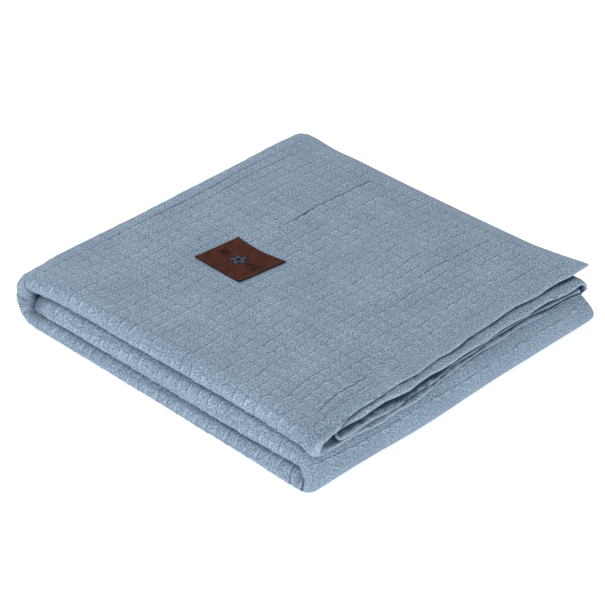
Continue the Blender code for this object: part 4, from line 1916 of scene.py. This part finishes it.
@dataclass(frozen=True)
class Studio:
    """The camera, the soft lights and the pale floor."""

    azimuth: float = 45.0
    elevation: float = 33.0
    focal_pixels: float = 2400.0
    image_pixels: float = 605.0
    distance: float = 2.107
    aim: tuple[float, float, float] = (0.00459, -0.01182, 0.028)
    floor_size: float = 14.0
    floor_drop: float = 0.0002
    sky: float = 0.615
    lamps: tuple[tuple[str, tuple[float, float, float], float, float], ...] = (
        ("left", (-2.0, 0.3, 0.9), 1.0, 12.0),
        ("front", (-0.3, -2.0, 1.3), 1.2, 14.0),
        ("right", (1.6, -0.8, 1.4), 0.8, 9.0),
    )

    def camera(self) -> None:
        """Places the camera at the photograph's angle."""
        turn = math.radians(self.azimuth)
        tilt = math.radians(self.elevation)
        back = Vector((math.sin(turn) * math.cos(tilt), -math.cos(turn) * math.cos(tilt), math.sin(tilt)))
        data = bpy.data.cameras.new("camera")
        data.sensor_width = 36.0
        data.lens = self.focal_pixels / self.image_pixels * data.sensor_width
        data.clip_end = 50.0
        camera = bpy.data.objects.new("camera", data)
        camera.location = Vector(self.aim) + back * self.distance
        camera.rotation_euler = back.to_track_quat("Z", "Y").to_euler()
        bpy.context.scene.collection.objects.link(camera)
        bpy.context.scene.camera = camera

    def lamp(self, name: str, place: tuple[float, float, float], size: float, power: float) -> None:
        """Adds a soft square lamp that looks at the stack.

        Args:
            name: the lamp's name.
            place: where it hangs.
            size: length of its side.
            power: its strength in watts.
        """
        data = bpy.data.lights.new(name, "AREA")
        data.energy = power
        data.size = size
        light = bpy.data.objects.new(name, data)
        light.location = place
        light.rotation_euler = Vector(place).to_track_quat("Z", "Y").to_euler()
        bpy.context.scene.collection.objects.link(light)

    def floor(self) -> bpy.types.Object:
        """Lays the floor just under the stack."""
        deselect()
        bpy.ops.mesh.primitive_plane_add(size=self.floor_size, location=(0.0, 0.0, 0.0))
        floor = bpy.context.object
        floor.name = "floor"
        points = take_points(floor)
        points[:, 2] = -self.floor_drop
        put_points(floor, points)
        floor.data.materials.append(FloorFinish().material())
        return floor

    def build(self) -> bpy.types.Object:
        """Sets up the studio.

        Returns:
            The floor.
        """
        self.camera()
        for lamp in self.lamps:
            self.lamp(*lamp)
        world = bpy.data.worlds.new("studio_world")
        world.use_nodes = True
        sky = world.node_tree.nodes["Background"]
        sky.inputs["Color"].default_value = (1.0, 1.0, 1.0, 1.0)
        sky.inputs["Strength"].default_value = self.sky
        bpy.context.scene.world = world
        bpy.context.scene.view_settings.view_transform = "Standard"
        return self.floor()


def main() -> None:
    """Builds the studio and the pieces in order, and says what each one is."""
    logging.basicConfig(level=logging.INFO, format="%(message)s")
    Studio().build()
    fold = Fold(Stack())
    log.info("flat cloth %.3f by %.3f m", fold.along_total + fold.hem, fold.across_total)

    blanket = BlanketCloth(fold, Weave())
    cloth = blanket.build(PiqueFinish())
    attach(cloth, "root")
    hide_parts("pique_cloth")
    log.info("%s: %d faces", cloth.name, len(cloth.data.polygons))

    hem = HemStitching().build(blanket)
    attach(hem, "root")
    log.info("%s: %d faces", hem.name, len(hem.data.polygons))

    patch_form = Patch()
    patch = patch_form.build(blanket, LeatherFinish())
    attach(patch, "root")
    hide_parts("leather_patch")
    log.info("%s: %d faces", patch.name, len(patch.data.polygons))

    sewing = PatchStitching().build(patch_form, blanket)
    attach(sewing, "root")
    log.info("%s: %d faces", sewing.name, len(sewing.data.polygons))


if __name__ == "__main__":
    main()
